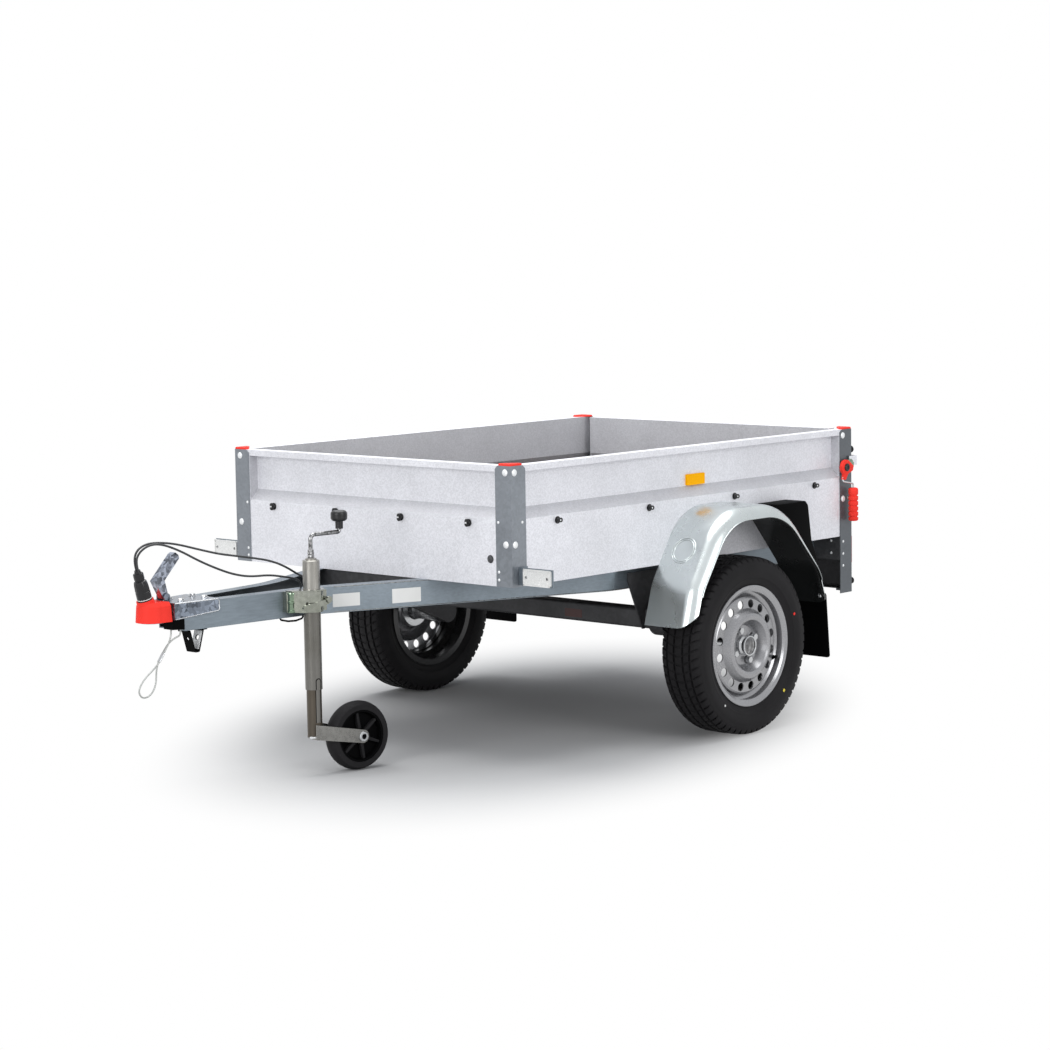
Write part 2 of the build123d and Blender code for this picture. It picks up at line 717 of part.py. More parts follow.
with BuildPart() as hub:
    hub_in = HUB_IN - WHEEL_Y
    with BuildSketch(WHEEL_PLANE):
        with BuildLine():
            Polyline(
                (hub_in, HUB_BORE_R + FIT),
                (hub_in, 33),
                (0, 33),
                (HUB_OFFSET - DISC_T - 10, 38),
                (HUB_OFFSET - DISC_T - 10, 58),
                (HUB_OFFSET - DISC_T, 58),
                (HUB_OFFSET - DISC_T, 29),
                (HUB_OFFSET + 10, 29),
                (HUB_OFFSET + 12, 27),
                (HUB_OFFSET + 15, 24),
                (HUB_OFFSET + 15, 0),
                (STUB_TIP - WHEEL_Y + 2, 0),
                (STUB_TIP - WHEEL_Y + 2, HUB_BORE_R + FIT),
                close=True,
            )
        make_face()
    revolve(axis=WHEEL_AXIS)
    bolt_plane = face_plane.offset(HUB_OFFSET - DISC_T - 1)
    with BuildSketch(bolt_plane):
        with PolarLocations(WHEEL_PCD / 2, WHEEL_BOLTS, start_angle=-66):
            Circle(BOLT_SHANK_R)
    extrude(amount=DISC_T + 3)
    with BuildSketch(face_plane.offset(HUB_OFFSET)):
        with PolarLocations(WHEEL_PCD / 2, WHEEL_BOLTS, start_angle=-66):
            Circle(9.2)
    extrude(amount=5)
    with BuildSketch(face_plane.offset(HUB_OFFSET + 5)):
        with PolarLocations(WHEEL_PCD / 2, WHEEL_BOLTS, start_angle=-66):
            RegularPolygon(9.8, 6)
    extrude(amount=11)
keep(hub, "hub_left")
keep_mirrored(hub, "hub_right")

# ----------------------------------------------------------------------- mudguards
GUARD_IN = WALL_Y + FIT
GUARD_PATH = (
    (AXLE_X + GUARD_FRONT[2], GUARD_END_Z),
    (AXLE_X + GUARD_FRONT[1], GUARD_MID_Z),
    (AXLE_X + GUARD_FRONT[0], GUARD_TOP),
    (AXLE_X - GUARD_REAR[0], GUARD_TOP),
    (AXLE_X - GUARD_REAR[1], GUARD_MID_Z),
    (AXLE_X - GUARD_REAR[2], GUARD_END_Z),
)


def guard_outline(inset, brow=0.0, drop=0.0):
    """Closed side outline of the mudguard, drawn in by inset from its outer surface.

    The top comes down by brow more, and the two ends reach lower by drop.
    """
    path = offset_path(GUARD_PATH, inset)
    path = [path[0]] + [path[1]] + [(x, z - brow) for x, z in path[2:4]] + [path[4], path[5]]
    (xa, za), (xb, zb) = path[0], path[-1]
    path[0] = (xa + drop * (xa - path[1][0]) / (path[1][1] - za), za - drop)
    path[-1] = (xb + drop * (xb - path[-2][0]) / (path[-2][1] - zb), zb - drop)
    with BuildLine() as outline:
        arch = FilletPolyline(*path, radius=[bend - inset for bend in GUARD_BENDS])
        Line(arch @ 1, arch @ 0)
    make_face(outline.edges())


with BuildPart() as guard_core:
    with BuildSketch(Plane.XZ.offset(-(GUARD_IN - 1))):
        guard_outline(GUARD_T, drop=30)
    extrude(amount=-(GUARD_OUT - GUARD_T - GUARD_IN + 1))
    arch_edges = guard_core.edges().group_by(Axis.Y)[-1]
    fillet(arch_edges.sort_by(Axis.Z)[1:], GUARD_EDGE_R - GUARD_T)

with BuildPart() as mudguard:
    with BuildSketch(Plane.XZ.offset(-GUARD_IN)):
        guard_outline(0)
    extrude(amount=-(GUARD_OUT - GUARD_IN))
    outer_edges = mudguard.edges().group_by(Axis.Y)[-1]
    fillet(outer_edges.sort_by(Axis.Z)[1:], GUARD_EDGE_R)
    add(guard_core.part, mode=Mode.SUBTRACT)
    with BuildSketch(Plane.XZ.offset(-(GUARD_OUT - GUARD_EDGE_R))):
        guard_outline(GUARD_SKIRT, brow=GUARD_BROW - GUARD_SKIRT, drop=30)
    extrude(amount=-2 * GUARD_EDGE_R, mode=Mode.SUBTRACT)
    # round the lower outer corners
    with BuildSketch(Plane.YZ.offset(AXLE_X - 2 * GUARD_REAR[2])):
        with Locations((GUARD_OUT - GUARD_CORNER_R, GUARD_END_Z + GUARD_CORNER_R)):
            Rectangle(GUARD_CORNER_R + 5, GUARD_CORNER_R + 5, align=(Align.MIN, Align.MAX))
            Circle(GUARD_CORNER_R, mode=Mode.SUBTRACT)
    extrude(amount=4 * GUARD_REAR[2], mode=Mode.SUBTRACT)
keep(mudguard, "mudguard_left")
keep_mirrored(mudguard, "mudguard_right")

with BuildPart() as flap:
    x_flap = AXLE_X - GUARD_REAR[2]
    with BuildSketch(Plane.YZ.offset(x_flap - FIT)):
        with BuildLine():
            FilletPolyline((GUARD_IN + 18, GUARD_END_Z + 30), (GUARD_IN + 18, FLAP_BOTTOM),
                           (FLAP_OUT + FLAP_FLARE, FLAP_BOTTOM), (FLAP_OUT, GUARD_END_Z + 30),
                           radius=[8, 8, 8, 8], close=True)
        make_face()
    extrude(amount=-FLAP_T)
keep(both_sides(flap), "mud_flaps")

# wheel chocks parked on the side walls behind the mudguards
CHOCK_W = 78.0
with BuildPart() as chock:
    with BuildSketch(Plane.XZ.offset(-(WALL_Y + FIT))):
        with BuildLine():
            Polyline(
                (AXLE_X - 236, 664),
                (AXLE_X - 380, 664),
                (AXLE_X - 394, 650),
                (AXLE_X - 411, 539),
                (AXLE_X - 443, 472),
                (AXLE_X - 356, 472),
                (AXLE_X - 236, 642),
                close=True,
            )
        make_face()
    extrude(amount=-CHOCK_W)
keep(both_sides(chock), "wheel_chocks")

# ------------------------------------------------------------------------ coupling
CAP_Z0 = FRAME_Z1 - 46.0
HEAD_Z0 = CAP_Z0 - 2.0
HEAD_Z1 = FRAME_Z1 + 4.0
BALL_Z = HEAD_Z0 + 22.0
PIVOT_X = NOSE_X - 87.0
PIVOT_Z = FRAME_Z1 + 18.0
PIVOT_R = 4.0
LUG_R = 10.0
HANDLE_HALF = 11.0
HANDLE_T = 3.0

with BuildPart() as coupling_body:
    neck_front = NOSE_X - CAP_REAR
    plate_rear = NOSE_X - PLATE_REAR
    slope = (KNEE_HALF - NECK_HALF) / (ARM_PATH[0][0] - ARM_PATH[1][0])
    edge = [(x, NECK_HALF + slope * (ARM_PATH[0][0] - x) + FIT) for x in (neck_front, plate_rear)]
    for side in (1, -1):
        with BuildSketch(Plane.XY.offset(FRAME_Z1 + FIT - PLATE_H)):
            with BuildLine():
                Polyline((edge[0][0], side * edge[0][1]), (edge[1][0], side * edge[1][1]),
                         (edge[1][0], side * (edge[1][1] + PLATE_T)),
                         (edge[0][0], side * (edge[0][1] + PLATE_T)), close=True)
            make_face()
        extrude(amount=PLATE_H + PLATE_T)
    with BuildSketch(Plane.XY.offset(FRAME_Z1 + FIT)):
        with BuildLine():
            Polyline((edge[0][0], edge[0][1] + 1), (edge[1][0], edge[1][1] + 1),
                     (edge[1][0], -edge[1][1] - 1), (edge[0][0], -edge[0][1] - 1), close=True)
        make_face()
    extrude(amount=PLATE_T)
    # the plates' lower edge rises to the rear
    with BuildSketch(Plane.XZ.offset(200)):
        with BuildLine():
            Polyline((plate_rear - 5, FRAME_Z1 - PLATE_H + PLATE_RISE),
                     (neck_front, FRAME_Z1 + FIT - PLATE_H - 1),
                     (plate_rear - 5, FRAME_Z1 - PLATE_H - 5), close=True)
        make_face()
    extrude(amount=-400, mode=Mode.SUBTRACT)
    with BuildSketch(Plane.XY.offset(HEAD_Z0 + 6)):
        with Locations(((neck_front - 14 + HEAD_X) / 2, 0)):
            Rectangle(HEAD_X - neck_front + 14, 2 * HEAD_R - 8)
        with Locations((neck_front - 8, 0)):
            Rectangle(14, 2 * NECK_HALF - 4)
    extrude(amount=FRAME_Z1 + PLATE_T - HEAD_Z0 - 6)
    with BuildSketch(Plane.XY.offset(HEAD_Z0)):
        with Locations((HEAD_X, 0)):
            Circle(HEAD_R)
    extrude(amount=HEAD_Z1 - HEAD_Z0)
    with Locations((HEAD_X, 0, BALL_Z)):
        Sphere(BALL_R, mode=Mode.SUBTRACT)
    with BuildSketch(Plane.XY.offset(HEAD_Z0)):
        with Locations((HEAD_X, 0)):
            Circle(BALL_R)
    extrude(amount=BALL_Z - HEAD_Z0, mode=Mode.SUBTRACT)
    for side in (1, -1):
        y_in = side * (HANDLE_HALF + 2)
        with BuildSketch(Plane.XZ.offset(-y_in)):
            with Locations((PIVOT_X, PIVOT_Z)):
                Circle(LUG_R)
            with Locations((PIVOT_X, (PIVOT_Z + FRAME_Z1 + 2) / 2)):
                Rectangle(2 * LUG_R, PIVOT_Z - FRAME_Z1 - 2)
        extrude(amount=-side * PLATE_T)
    with BuildSketch(Plane.XZ.offset(HANDLE_HALF + 2)):
        with Locations((PIVOT_X, PIVOT_Z)):
            Circle(PIVOT_R)
    extrude(amount=-2 * (HANDLE_HALF + 2))
keep(coupling_body, "coupling_body")

# lever: a bent channel, its short arm leans forward to an elbow, its long arm back
LEVER_OUTLINE = (
    (10, -2), (36, 45), (-30, 113), (-38, 117), (-48, 110), (-51, 100), (2.5, 44.7), (-10, -2),
)
LEVER_HOLLOW = ((13.7, 12), (31.8, 44.6), (-30, 108.2), (-62, 80), (-8, 30), (-16, 12))
with BuildPart() as coupling_handle:
    with BuildSketch(Plane.XZ.offset(HANDLE_HALF)):
        with Locations((PIVOT_X, PIVOT_Z)):
            Circle(LUG_R)
        with BuildLine():
            Polyline(*[(PIVOT_X + x, PIVOT_Z + z) for x, z in LEVER_OUTLINE], close=True)
        make_face()
        with Locations((PIVOT_X, PIVOT_Z)):
            Circle(PIVOT_R + FIT, mode=Mode.SUBTRACT)
    extrude(amount=-2 * HANDLE_HALF)
    with BuildSketch(Plane.XZ.offset(HANDLE_HALF - HANDLE_T)):
        with BuildLine():
            Polyline(*[(PIVOT_X + x, PIVOT_Z + z) for x, z in LEVER_HOLLOW], close=True)
        make_face()
    extrude(amount=-2 * (HANDLE_HALF - HANDLE_T), mode=Mode.SUBTRACT)
keep(coupling_handle, "coupling_handle")

PLUG_R = 20.5
PLUG_LEAN = 16.0
PLUG_FOOT = Vector(NOSE_X - 24, 0, HEAD_Z1 + 6)
PLUG_AXIS = Vector(sin(radians(PLUG_LEAN)), 0, cos(radians(PLUG_LEAN)))
PLUG_PLANE = Plane(origin=PLUG_FOOT, x_dir=(0, 1, 0), z_dir=PLUG_AXIS)

CAP_SECTIONS = (
    # height above the cap's foot, inset all round
    (0.0, 0.0),
    (CAP_H - 10, 3.0),
    (CAP_H, 7.5),
)
with BuildPart() as coupling_cap:
    for rise, inset in CAP_SECTIONS:
        with BuildSketch(Plane.XY.offset(CAP_Z0 + rise)):
            with BuildLine():
                front_x = NOSE_X - CAP_HALF - inset / 2
                back_x = neck_front + 1 + inset / 2
                Polyline(
                    (front_x, CAP_HALF - 3 - inset), (back_x, CAP_HALF - inset),
                    (back_x, inset - CAP_HALF), (front_x, inset + 3 - CAP_HALF),
                )
                ThreePointArc(
                    (front_x, inset + 3 - CAP_HALF), (NOSE_X - inset, 0),
                    (front_x, CAP_HALF - 3 - inset),
                )
            make_face()
    loft(ruled=True)
    with BuildSketch(PLUG_PLANE.offset(-16)):
        Circle(PLUG_R + 3.5)
    extrude(amount=22)
    with BuildSketch(Plane.XY.offset(CAP_Z0 - 1)):
        with Locations((HEAD_X, 0)):
            Circle(HEAD_R + FIT)
        with Locations(((neck_front + HEAD_X) / 2, 0)):
            Rectangle(HEAD_X - neck_front + 2, 2 * HEAD_R - 8 + 2 * FIT)
    extrude(amount=HEAD_Z1 - CAP_Z0 + 1 + FIT, mode=Mode.SUBTRACT)
    with BuildSketch(PLUG_PLANE):
        Circle(PLUG_R + FIT)
    extrude(amount=60, mode=Mode.SUBTRACT)
keep(coupling_cap, "coupling_cap")

# plug parked in the cap: body, collar and cable outlet
PLUG_STEPS = (
    # start, end, radius along the plug's axis
    (FIT, 62.0, PLUG_R),
    (62.0, 84.0, 14.5),
    (84.0, 92.0, 9.0),
)
with BuildPart() as trailer_plug:
    for start, end, radius in PLUG_STEPS:
        with BuildSketch(PLUG_PLANE.offset(start)):
            Circle(radius)
        extrude(amount=end - start)
keep(trailer_plug, "trailer_plug")
PLUG_TOP = PLUG_FOOT + PLUG_AXIS * PLUG_STEPS[-1][1]

# V-shaped strap under the left arm with a hole in each leg, and a block for the safety cable
STRAP_X = NOSE_X - 131.0         # front of the strap's front leg at its top
STRAP_Y = 37.0
STRAP_W = 34.0
STRAP_T = 4.0
STRAP_DROP = 61.0
STRAP_HOLE_R = 5.0
STRAP_HOLE_DOWN = 24.0
STRAP_TOP = FRAME_Z0 - FIT
with BuildPart() as drawbar_strap:
    with BuildSketch(Plane.XZ.offset(-(STRAP_Y - STRAP_W / 2))):
        with BuildLine():
            leg = FilletPolyline(
                (STRAP_X + 11, STRAP_TOP - STRAP_T / 2), (STRAP_X - 1, STRAP_TOP - STRAP_T / 2),
                (STRAP_X - 18, STRAP_TOP - STRAP_DROP), (STRAP_X - 32, STRAP_TOP - STRAP_DROP),
                (STRAP_X - 49, STRAP_TOP - STRAP_T / 2), (STRAP_X - 61, STRAP_TOP - STRAP_T / 2),
                radius=[3, 3, 3, 3],
            )
            offset(amount=STRAP_T / 2, kind=Kind.TANGENT, side=Side.BOTH)
        make_face()
    extrude(amount=-STRAP_W)
    for side, foot_x, radius in ((1, STRAP_X - 1, STRAP_HOLE_R), (-1, STRAP_X - 49, 7.0)):
        leg_dir = Vector(-17 * side, 0, STRAP_T / 2 - STRAP_DROP).normalized()
        start = Vector(foot_x, STRAP_Y, STRAP_TOP - STRAP_T / 2)
        with BuildSketch(Plane(origin=start + leg_dir * STRAP_HOLE_DOWN, x_dir=(0, 1, 0),
                               z_dir=leg_dir.cross(Vector(0, 1, 0)))):
            Circle(radius)
        extrude(amount=8, both=True, mode=Mode.SUBTRACT)
keep(drawbar_strap, "drawbar_strap")

GUIDE_Z = CAP_Z0 - 24.0
with BuildPart() as cable_clip:
    with BuildSketch(Plane.XY.offset(GUIDE_Z)):
        with BuildLine():
            Polyline((neck_front - 2, 4), (neck_front - 2, 40), (ARM_PATH[0][0] + 3, 57),
                     (ARM_PATH[0][0] + 3, 4), close=True)
        make_face()
    extrude(amount=HEAD_Z0 + 6 - FIT - GUIDE_Z)
keep(cable_clip, "cable_clip")

# -------------------------------------------------------------------------- cords
CABLE_R = 3.0
HANG_R = 2.3


def from_axle(points):
    """Move hand-set points from the wheel-centre frame into the trailer's frame."""
    return [(AXLE_X + x, y, z) for x, y, z in points]


def leave_plug(side):
    """First two points of a cable that leaves the plug's top beside the other one."""
    start = PLUG_TOP + Vector(0, side, 0)
    return [tuple(start), tuple(start + PLUG_AXIS * 26)]


UPPER_ROUTE = leave_plug(-3.6) + from_axle([
    (1738, -4, 672), (1709, -3, 687), (1672, 1, 689), (1614, 10, 681), (1538, 24, 658),
    (1478, 35, 641), (1430, 44, 632), (1382, 52, 623), (1317, 63, 609), (1270, 72, 589),
    (1228, 80, 562), (1194, 83, 547), (1184, 84, FRAME_Z1),
])
UPPER_ROUTE[-1] = (UPPER_ROUTE[-2][0], UPPER_ROUTE[-2][1], FRAME_Z1)
LOWER_ROUTE = leave_plug(3.6) + from_axle([
    (1738, 9, 670), (1711, 17, 687), (1675, 26, 687), (1618, 34, 664), (1550, 36, 628),
    (1479, 40, 597), (1432, 46, 580), (1384, 54, 570), (1320, 63, 569), (1271, 72, 559),
    (1240, 76, 552), (1216, 77, 541), (1216, 77, FRAME_Z1),
])
cable_upper = cord(UPPER_ROUTE, CABLE_R)
keep(cable_upper, "cable_upper")
cable_lower = cord(LOWER_ROUTE, CABLE_R)
keep(cable_lower, "cable_lower")

SAFETY_ROUTE = from_axle([
    (1647, 22, GUIDE_Z), (1647, 22, 437), (1654, 22, 419), (1666, 22, 401), (1680, 22, 382),
    (1694, 22, 364), (1713, 23, 350), (1736, 24, 336), (1757, 24, 318), (1769, 24, 297),
    (1758, 23, 278), (1733, 22, 277), (1711, 20, 293), (1701, 18, 316), (1699, 17, 341),
    (1693, 17, 364), (1680, 17, 382), (1666, 17, 401), (1652, 20, 417), (1641, 32, 429),
    (1634, 46, 436), (1634, 46, GUIDE_Z),
])
safety_cable = cord(SAFETY_ROUTE, HANG_R)
keep(safety_cable, "safety_cable")

# pressed sleeve that ties the cable's two strands together above the loop
SLEEVE_DIR = Vector(-14, 0, 18.7).normalized()
SLEEVE_T = 1.4
with BuildPart() as cable_sleeve:
    with BuildSketch(Plane(origin=(AXLE_X + 1691, 19.5, 367.5), x_dir=(0, 1, 0),
                           z_dir=SLEEVE_DIR)):
        Ellipse(2.5 + HANG_R + SLEEVE_T, HANG_R + SLEEVE_T)
    extrude(amount=28)
    add(safety_cable.part, mode=Mode.SUBTRACT)
keep(cable_sleeve, "cable_sleeve")

# ---------------------------------------------------------------------- jockey wheel
CLAMP_H = 58.0
CLAMP_Z0 = FRAME_Z1 - CLAMP_H
CLAMP_WALL = 8.0
with BuildPart() as jockey_clamp:
    x_pad = (JOCKEY_X + 14, JOCKEY_X + 62)
    pad = [(x, arm_y(x) + FIT) for x in x_pad]
    with BuildSketch(Plane.XY.offset(CLAMP_Z0)):
        with Locations((JOCKEY_X, JOCKEY_Y)):
            Circle(JOCKEY_TUBE_R + CLAMP_WALL)
        with BuildLine():
            Polyline(
                pad[0], pad[1], (pad[1][0], pad[1][1] + 16),
                (JOCKEY_X + 36, JOCKEY_Y + 14), (JOCKEY_X, JOCKEY_Y + 20),
                (JOCKEY_X, JOCKEY_Y - 20), close=True,
            )
        make_face()
        with Locations((JOCKEY_X - 33, JOCKEY_Y - 2)):
            Rectangle(26, 26)
        with Locations((JOCKEY_X, JOCKEY_Y)):
            Circle(JOCKEY_TUBE_R + FIT, mode=Mode.SUBTRACT)
        with Locations((JOCKEY_X - 35, JOCKEY_Y - 2)):
            Rectangle(30, 4, mode=Mode.SUBTRACT)
    extrude(amount=CLAMP_H)
    with BuildSketch(Plane.XZ.offset(-(JOCKEY_Y + 9))):
        with Locations((JOCKEY_X - 36, CLAMP_Z0 + 32)):
            Circle(8)
    extrude(amount=-14)
    with BuildSketch(Plane.XZ.offset(-(JOCKEY_Y - 17))):
        with Locations((JOCKEY_X - 36, CLAMP_Z0 + 32)):
            Circle(5)
    extrude(amount=-36)
    with BuildSketch(Plane.XZ.offset(-(JOCKEY_Y + 26))):
        with Locations((JOCKEY_X + 12, CLAMP_Z0 + 21)):
            SlotOverall(100, 15, rotation=-7)
    extrude(amount=-7)
keep(jockey_clamp, "jockey_clamp")

TUBE_FOOT = FRAME_Z0 - JOCKEY_FOOT
TUBE_HEAD = FRAME_Z1 + JOCKEY_HEAD
COLLAR_R = 15.5
COLLAR_H = 5.0
with BuildPart() as jockey_outer:
    with BuildSketch(Plane.XY.offset(TUBE_FOOT)):
        with Locations((JOCKEY_X, JOCKEY_Y)):
            Circle(JOCKEY_TUBE_R)
            Circle(JOCKEY_TUBE_R - JOCKEY_TUBE_T, mode=Mode.SUBTRACT)
    extrude(amount=TUBE_HEAD - TUBE_FOOT)
    with BuildSketch(Plane.XY.offset(TUBE_HEAD - 4)):
        with Locations((JOCKEY_X, JOCKEY_Y)):
            Circle(JOCKEY_TUBE_R)
            Circle(CRANK_R + FIT, mode=Mode.SUBTRACT)
    extrude(amount=4)
    chamfer(jockey_outer.edges().filter_by(GeomType.CIRCLE).group_by(Axis.Z)[-1].sort_by(
        SortBy.RADIUS)[-1:], 2)
    with BuildSketch(Plane.XY.offset(TUBE_HEAD)):
        with Locations((JOCKEY_X, JOCKEY_Y)):
            Circle(COLLAR_R)
            Circle(CRANK_R + FIT, mode=Mode.SUBTRACT)
    extrude(amount=COLLAR_H)
keep(jockey_outer, "jockey_outer_tube")

SHAFT_TOP = TUBE_HEAD + 70.0
CRANK_RISER = 30.0
with BuildPart() as jockey_crank:
    throw = Vector(cos(radians(CRANK_YAW)), sin(radians(CRANK_YAW)), 0) * CRANK_THROW
    foot = Vector(JOCKEY_X, JOCKEY_Y, TUBE_HEAD - 12)
    knuckle = Vector(JOCKEY_X, JOCKEY_Y, SHAFT_TOP)
    outer_end = knuckle + throw
    with BuildLine() as rod:
        FilletPolyline(foot, knuckle, outer_end, outer_end + Vector(0, 0, CRANK_RISER),
                       radius=[14, 8])
    with BuildSketch(Plane(origin=rod.line @ 0, z_dir=rod.line % 0)):
        Circle(CRANK_R)
    sweep()
    with BuildSketch(Plane.XY.offset(TUBE_HEAD + COLLAR_H + FIT)):
        with Locations((JOCKEY_X, JOCKEY_Y)):
            Circle(CRANK_NUT_R)
    extrude(amount=23)
keep(jockey_crank, "jockey_crank")

with BuildPart() as crank_knob:
    with BuildSketch(Plane.XY.offset(SHAFT_TOP + CRANK_RISER)):
        with Locations((outer_end.X, outer_end.Y)):
            Circle(KNOB_R)
    extrude(amount=KNOB_H)
    fillet(crank_knob.edges().filter_by(GeomType.CIRCLE), KNOB_H * 0.33)
    with BuildSketch(Plane.XY.offset(SHAFT_TOP + CRANK_RISER - KNOB_NECK_H)):
        with Locations((outer_end.X, outer_end.Y)):
            Circle(KNOB_NECK_R)
            Circle(CRANK_R + FIT, mode=Mode.SUBTRACT)
    extrude(amount=KNOB_NECK_H)
keep(crank_knob, "crank_knob")

INNER_FOOT = JOCKEY_R + 16.0
INNER_HEAD = TUBE_HEAD - 108.0
with BuildPart() as jockey_inner:
    with BuildSketch(Plane.XY.offset(INNER_FOOT)):
        with Locations((JOCKEY_X, JOCKEY_Y)):
            Circle(JOCKEY_INNER_R)
            Circle(JOCKEY_INNER_R - JOCKEY_TUBE_T, mode=Mode.SUBTRACT)
    extrude(amount=INNER_HEAD - INNER_FOOT)
    with BuildSketch(Plane.XY.offset(INNER_FOOT - 4)):
        with Locations((JOCKEY_X, JOCKEY_Y)):
            Circle(JOCKEY_INNER_R)
    extrude(amount=4)
keep(jockey_inner, "jockey_inner_tube")

JOCKEY_DIR = Vector(cos(radians(JOCKEY_YAW)), sin(radians(JOCKEY_YAW)), 0)
JOCKEY_SIDE = Vector(-JOCKEY_DIR.Y, JOCKEY_DIR.X, 0)
JOCKEY_HUB = Vector(JOCKEY_X, JOCKEY_Y, JOCKEY_R) - JOCKEY_DIR * JOCKEY_TRAIL
FORK_TOP = INNER_FOOT - 4 - FIT
FORK_HALF = JOCKEY_W / 2 + 4
# side plane of the caster: x forward along the fork, y up, seen from its left
FORK_SIDE = Plane(origin=(JOCKEY_X, JOCKEY_Y, 0), x_dir=JOCKEY_DIR, z_dir=-JOCKEY_SIDE)

with BuildPart() as jockey_fork:
    arm_top = JOCKEY_R + ARM_RISE + ARM_H / 2
    eye_r = ARM_H / 2 - 2
    for side in (1, -1):
        with BuildSketch(FORK_SIDE.offset(-side * FORK_HALF)):
            arm_front = 15 if side == 1 else -8
            with BuildLine():
                Polyline(
                    (arm_front, arm_top),
                    (arm_front, arm_top - ARM_H),
                    (-JOCKEY_TRAIL, JOCKEY_R - eye_r),
                    (-JOCKEY_TRAIL, JOCKEY_R + eye_r),
                    close=True,
                )
            make_face()
            with Locations((-JOCKEY_TRAIL, JOCKEY_R)):
                Circle(eye_r)
        extrude(amount=-side * FORK_T)
    # crown between the arms, under the tube's foot
    with BuildSketch(Plane(origin=(JOCKEY_X, JOCKEY_Y, FORK_TOP - FORK_T),
                           x_dir=JOCKEY_DIR, z_dir=(0, 0, 1))):
        with BuildLine():
            Polyline((-29, -FORK_HALF), (-8, -FORK_HALF), (15, -12), (15, FORK_HALF),
                     (-29, FORK_HALF), close=True)
        make_face()
    extrude(amount=FORK_T)
    with BuildSketch(FORK_SIDE.offset(-FORK_HALF - FORK_T - 3)):
        with Locations((-JOCKEY_TRAIL, JOCKEY_R)):
            Circle(JOCKEY_AXLE_R)
    extrude(amount=2 * (FORK_HALF + FORK_T + 3))
keep(jockey_fork, "jockey_fork")

JOCKEY_WHEEL_PLANE = Plane(origin=JOCKEY_HUB, x_dir=JOCKEY_SIDE, z_dir=JOCKEY_DIR)
JOCKEY_WHEEL_AXIS = Axis(JOCKEY_HUB, JOCKEY_SIDE)
JOCKEY_RIM_R = JOCKEY_R - 24.0
with BuildPart() as jockey_tyre:
    with BuildSketch(JOCKEY_WHEEL_PLANE):
        with BuildLine():
            half = JOCKEY_W / 2
            Polyline((half, JOCKEY_R - 9), (half, JOCKEY_RIM_R + FIT),
                     (-half, JOCKEY_RIM_R + FIT), (-half, JOCKEY_R - 9))
            ThreePointArc((-half, JOCKEY_R - 9), (0, JOCKEY_R), (half, JOCKEY_R - 9))
        make_face()
    revolve(axis=JOCKEY_WHEEL_AXIS)
keep(jockey_tyre, "jockey_tyre")

with BuildPart() as jockey_rim:
    with BuildSketch(JOCKEY_WHEEL_PLANE):
        with BuildLine():
            half = JOCKEY_W / 2
            Polyline(
                (half - 2, JOCKEY_RIM_R), (half - 2, JOCKEY_RIM_R - 6), (8, JOCKEY_RIM_R - 10),
                (8, 24), (half + 1, 20), (half + 1, JOCKEY_AXLE_R + FIT),
                (-half - 1, JOCKEY_AXLE_R + FIT), (-half - 1, 20), (-8, 24),
                (-8, JOCKEY_RIM_R - 10), (-half + 2, JOCKEY_RIM_R - 6), (-half + 2, JOCKEY_RIM_R),
                close=True,
            )
        make_face()
    revolve(axis=JOCKEY_WHEEL_AXIS)
keep(jockey_rim, "jockey_rim")

# ------------------------------------------------------------------------- latches
CAM_Y = CATCH_Y + CATCH_T + RUN
GRIP_Y = CAM_Y + CAM_T / 2 + 5.5 + RUN
GRIP_TOP = (LATCH_X - 27, LATCH_Z - 66)

with BuildPart() as latch:
    with BuildSketch(Plane.XZ.offset(-CAM_Y)):
        with Locations((LATCH_X, LATCH_Z)):
            Circle(CAM_R)
        with BuildLine():
            Polyline((LATCH_X - CAM_R - 14, LATCH_Z + 2), (LATCH_X, LATCH_Z + 14),
                     (LATCH_X, LATCH_Z - 14), (LATCH_X - CAM_R - 10, LATCH_Z - 12), close=True)
        make_face()
        with BuildLine():
            Polyline((LATCH_X + CAM_R, LATCH_Z), (LATCH_X - CAM_R, LATCH_Z),
                     (LATCH_X + 4, LATCH_Z - 40), (LATCH_X + 16, LATCH_Z - 38), close=True)
        make_face()
    extrude(amount=-CAM_T)
    with BuildSketch(Plane.XZ.offset(-(HALF_W + FIT))):
        with Locations((LATCH_X, LATCH_Z)):
            Circle(9)
    extrude(amount=-(CAM_Y + CAM_T + 5 - HALF_W - FIT))
    with BuildLine() as wire:
        FilletPolyline(
            (LATCH_X + 12, CAM_Y + CAM_T / 2, LATCH_Z - 30),
            (LATCH_X + 14, CAM_Y + CAM_T / 2, LATCH_Z - 44),
            (GRIP_TOP[0], GRIP_Y, LATCH_Z - 53),
            (GRIP_TOP[0], GRIP_Y, GRIP_TOP[1]),
            radius=WIRE_R + 2.5,
        )
    with BuildSketch(Plane(origin=wire.line @ 0, z_dir=wire.line % 0)):
        Circle(WIRE_R)
    sweep()
keep(latch, "latch_left")
keep_mirrored(latch, "latch_right")

with BuildPart() as latch_grip:
    with BuildSketch(Plane.XY.offset(GRIP_TOP[1] - GRIP_L)):
        with Locations((GRIP_TOP[0], GRIP_Y)):
            Circle(GRIP_R)
    extrude(amount=GRIP_L)
    chamfer(latch_grip.edges().filter_by(GeomType.CIRCLE), 3)
keep(latch_grip, "latch_grip_left")
keep_mirrored(latch_grip, "latch_grip_right")

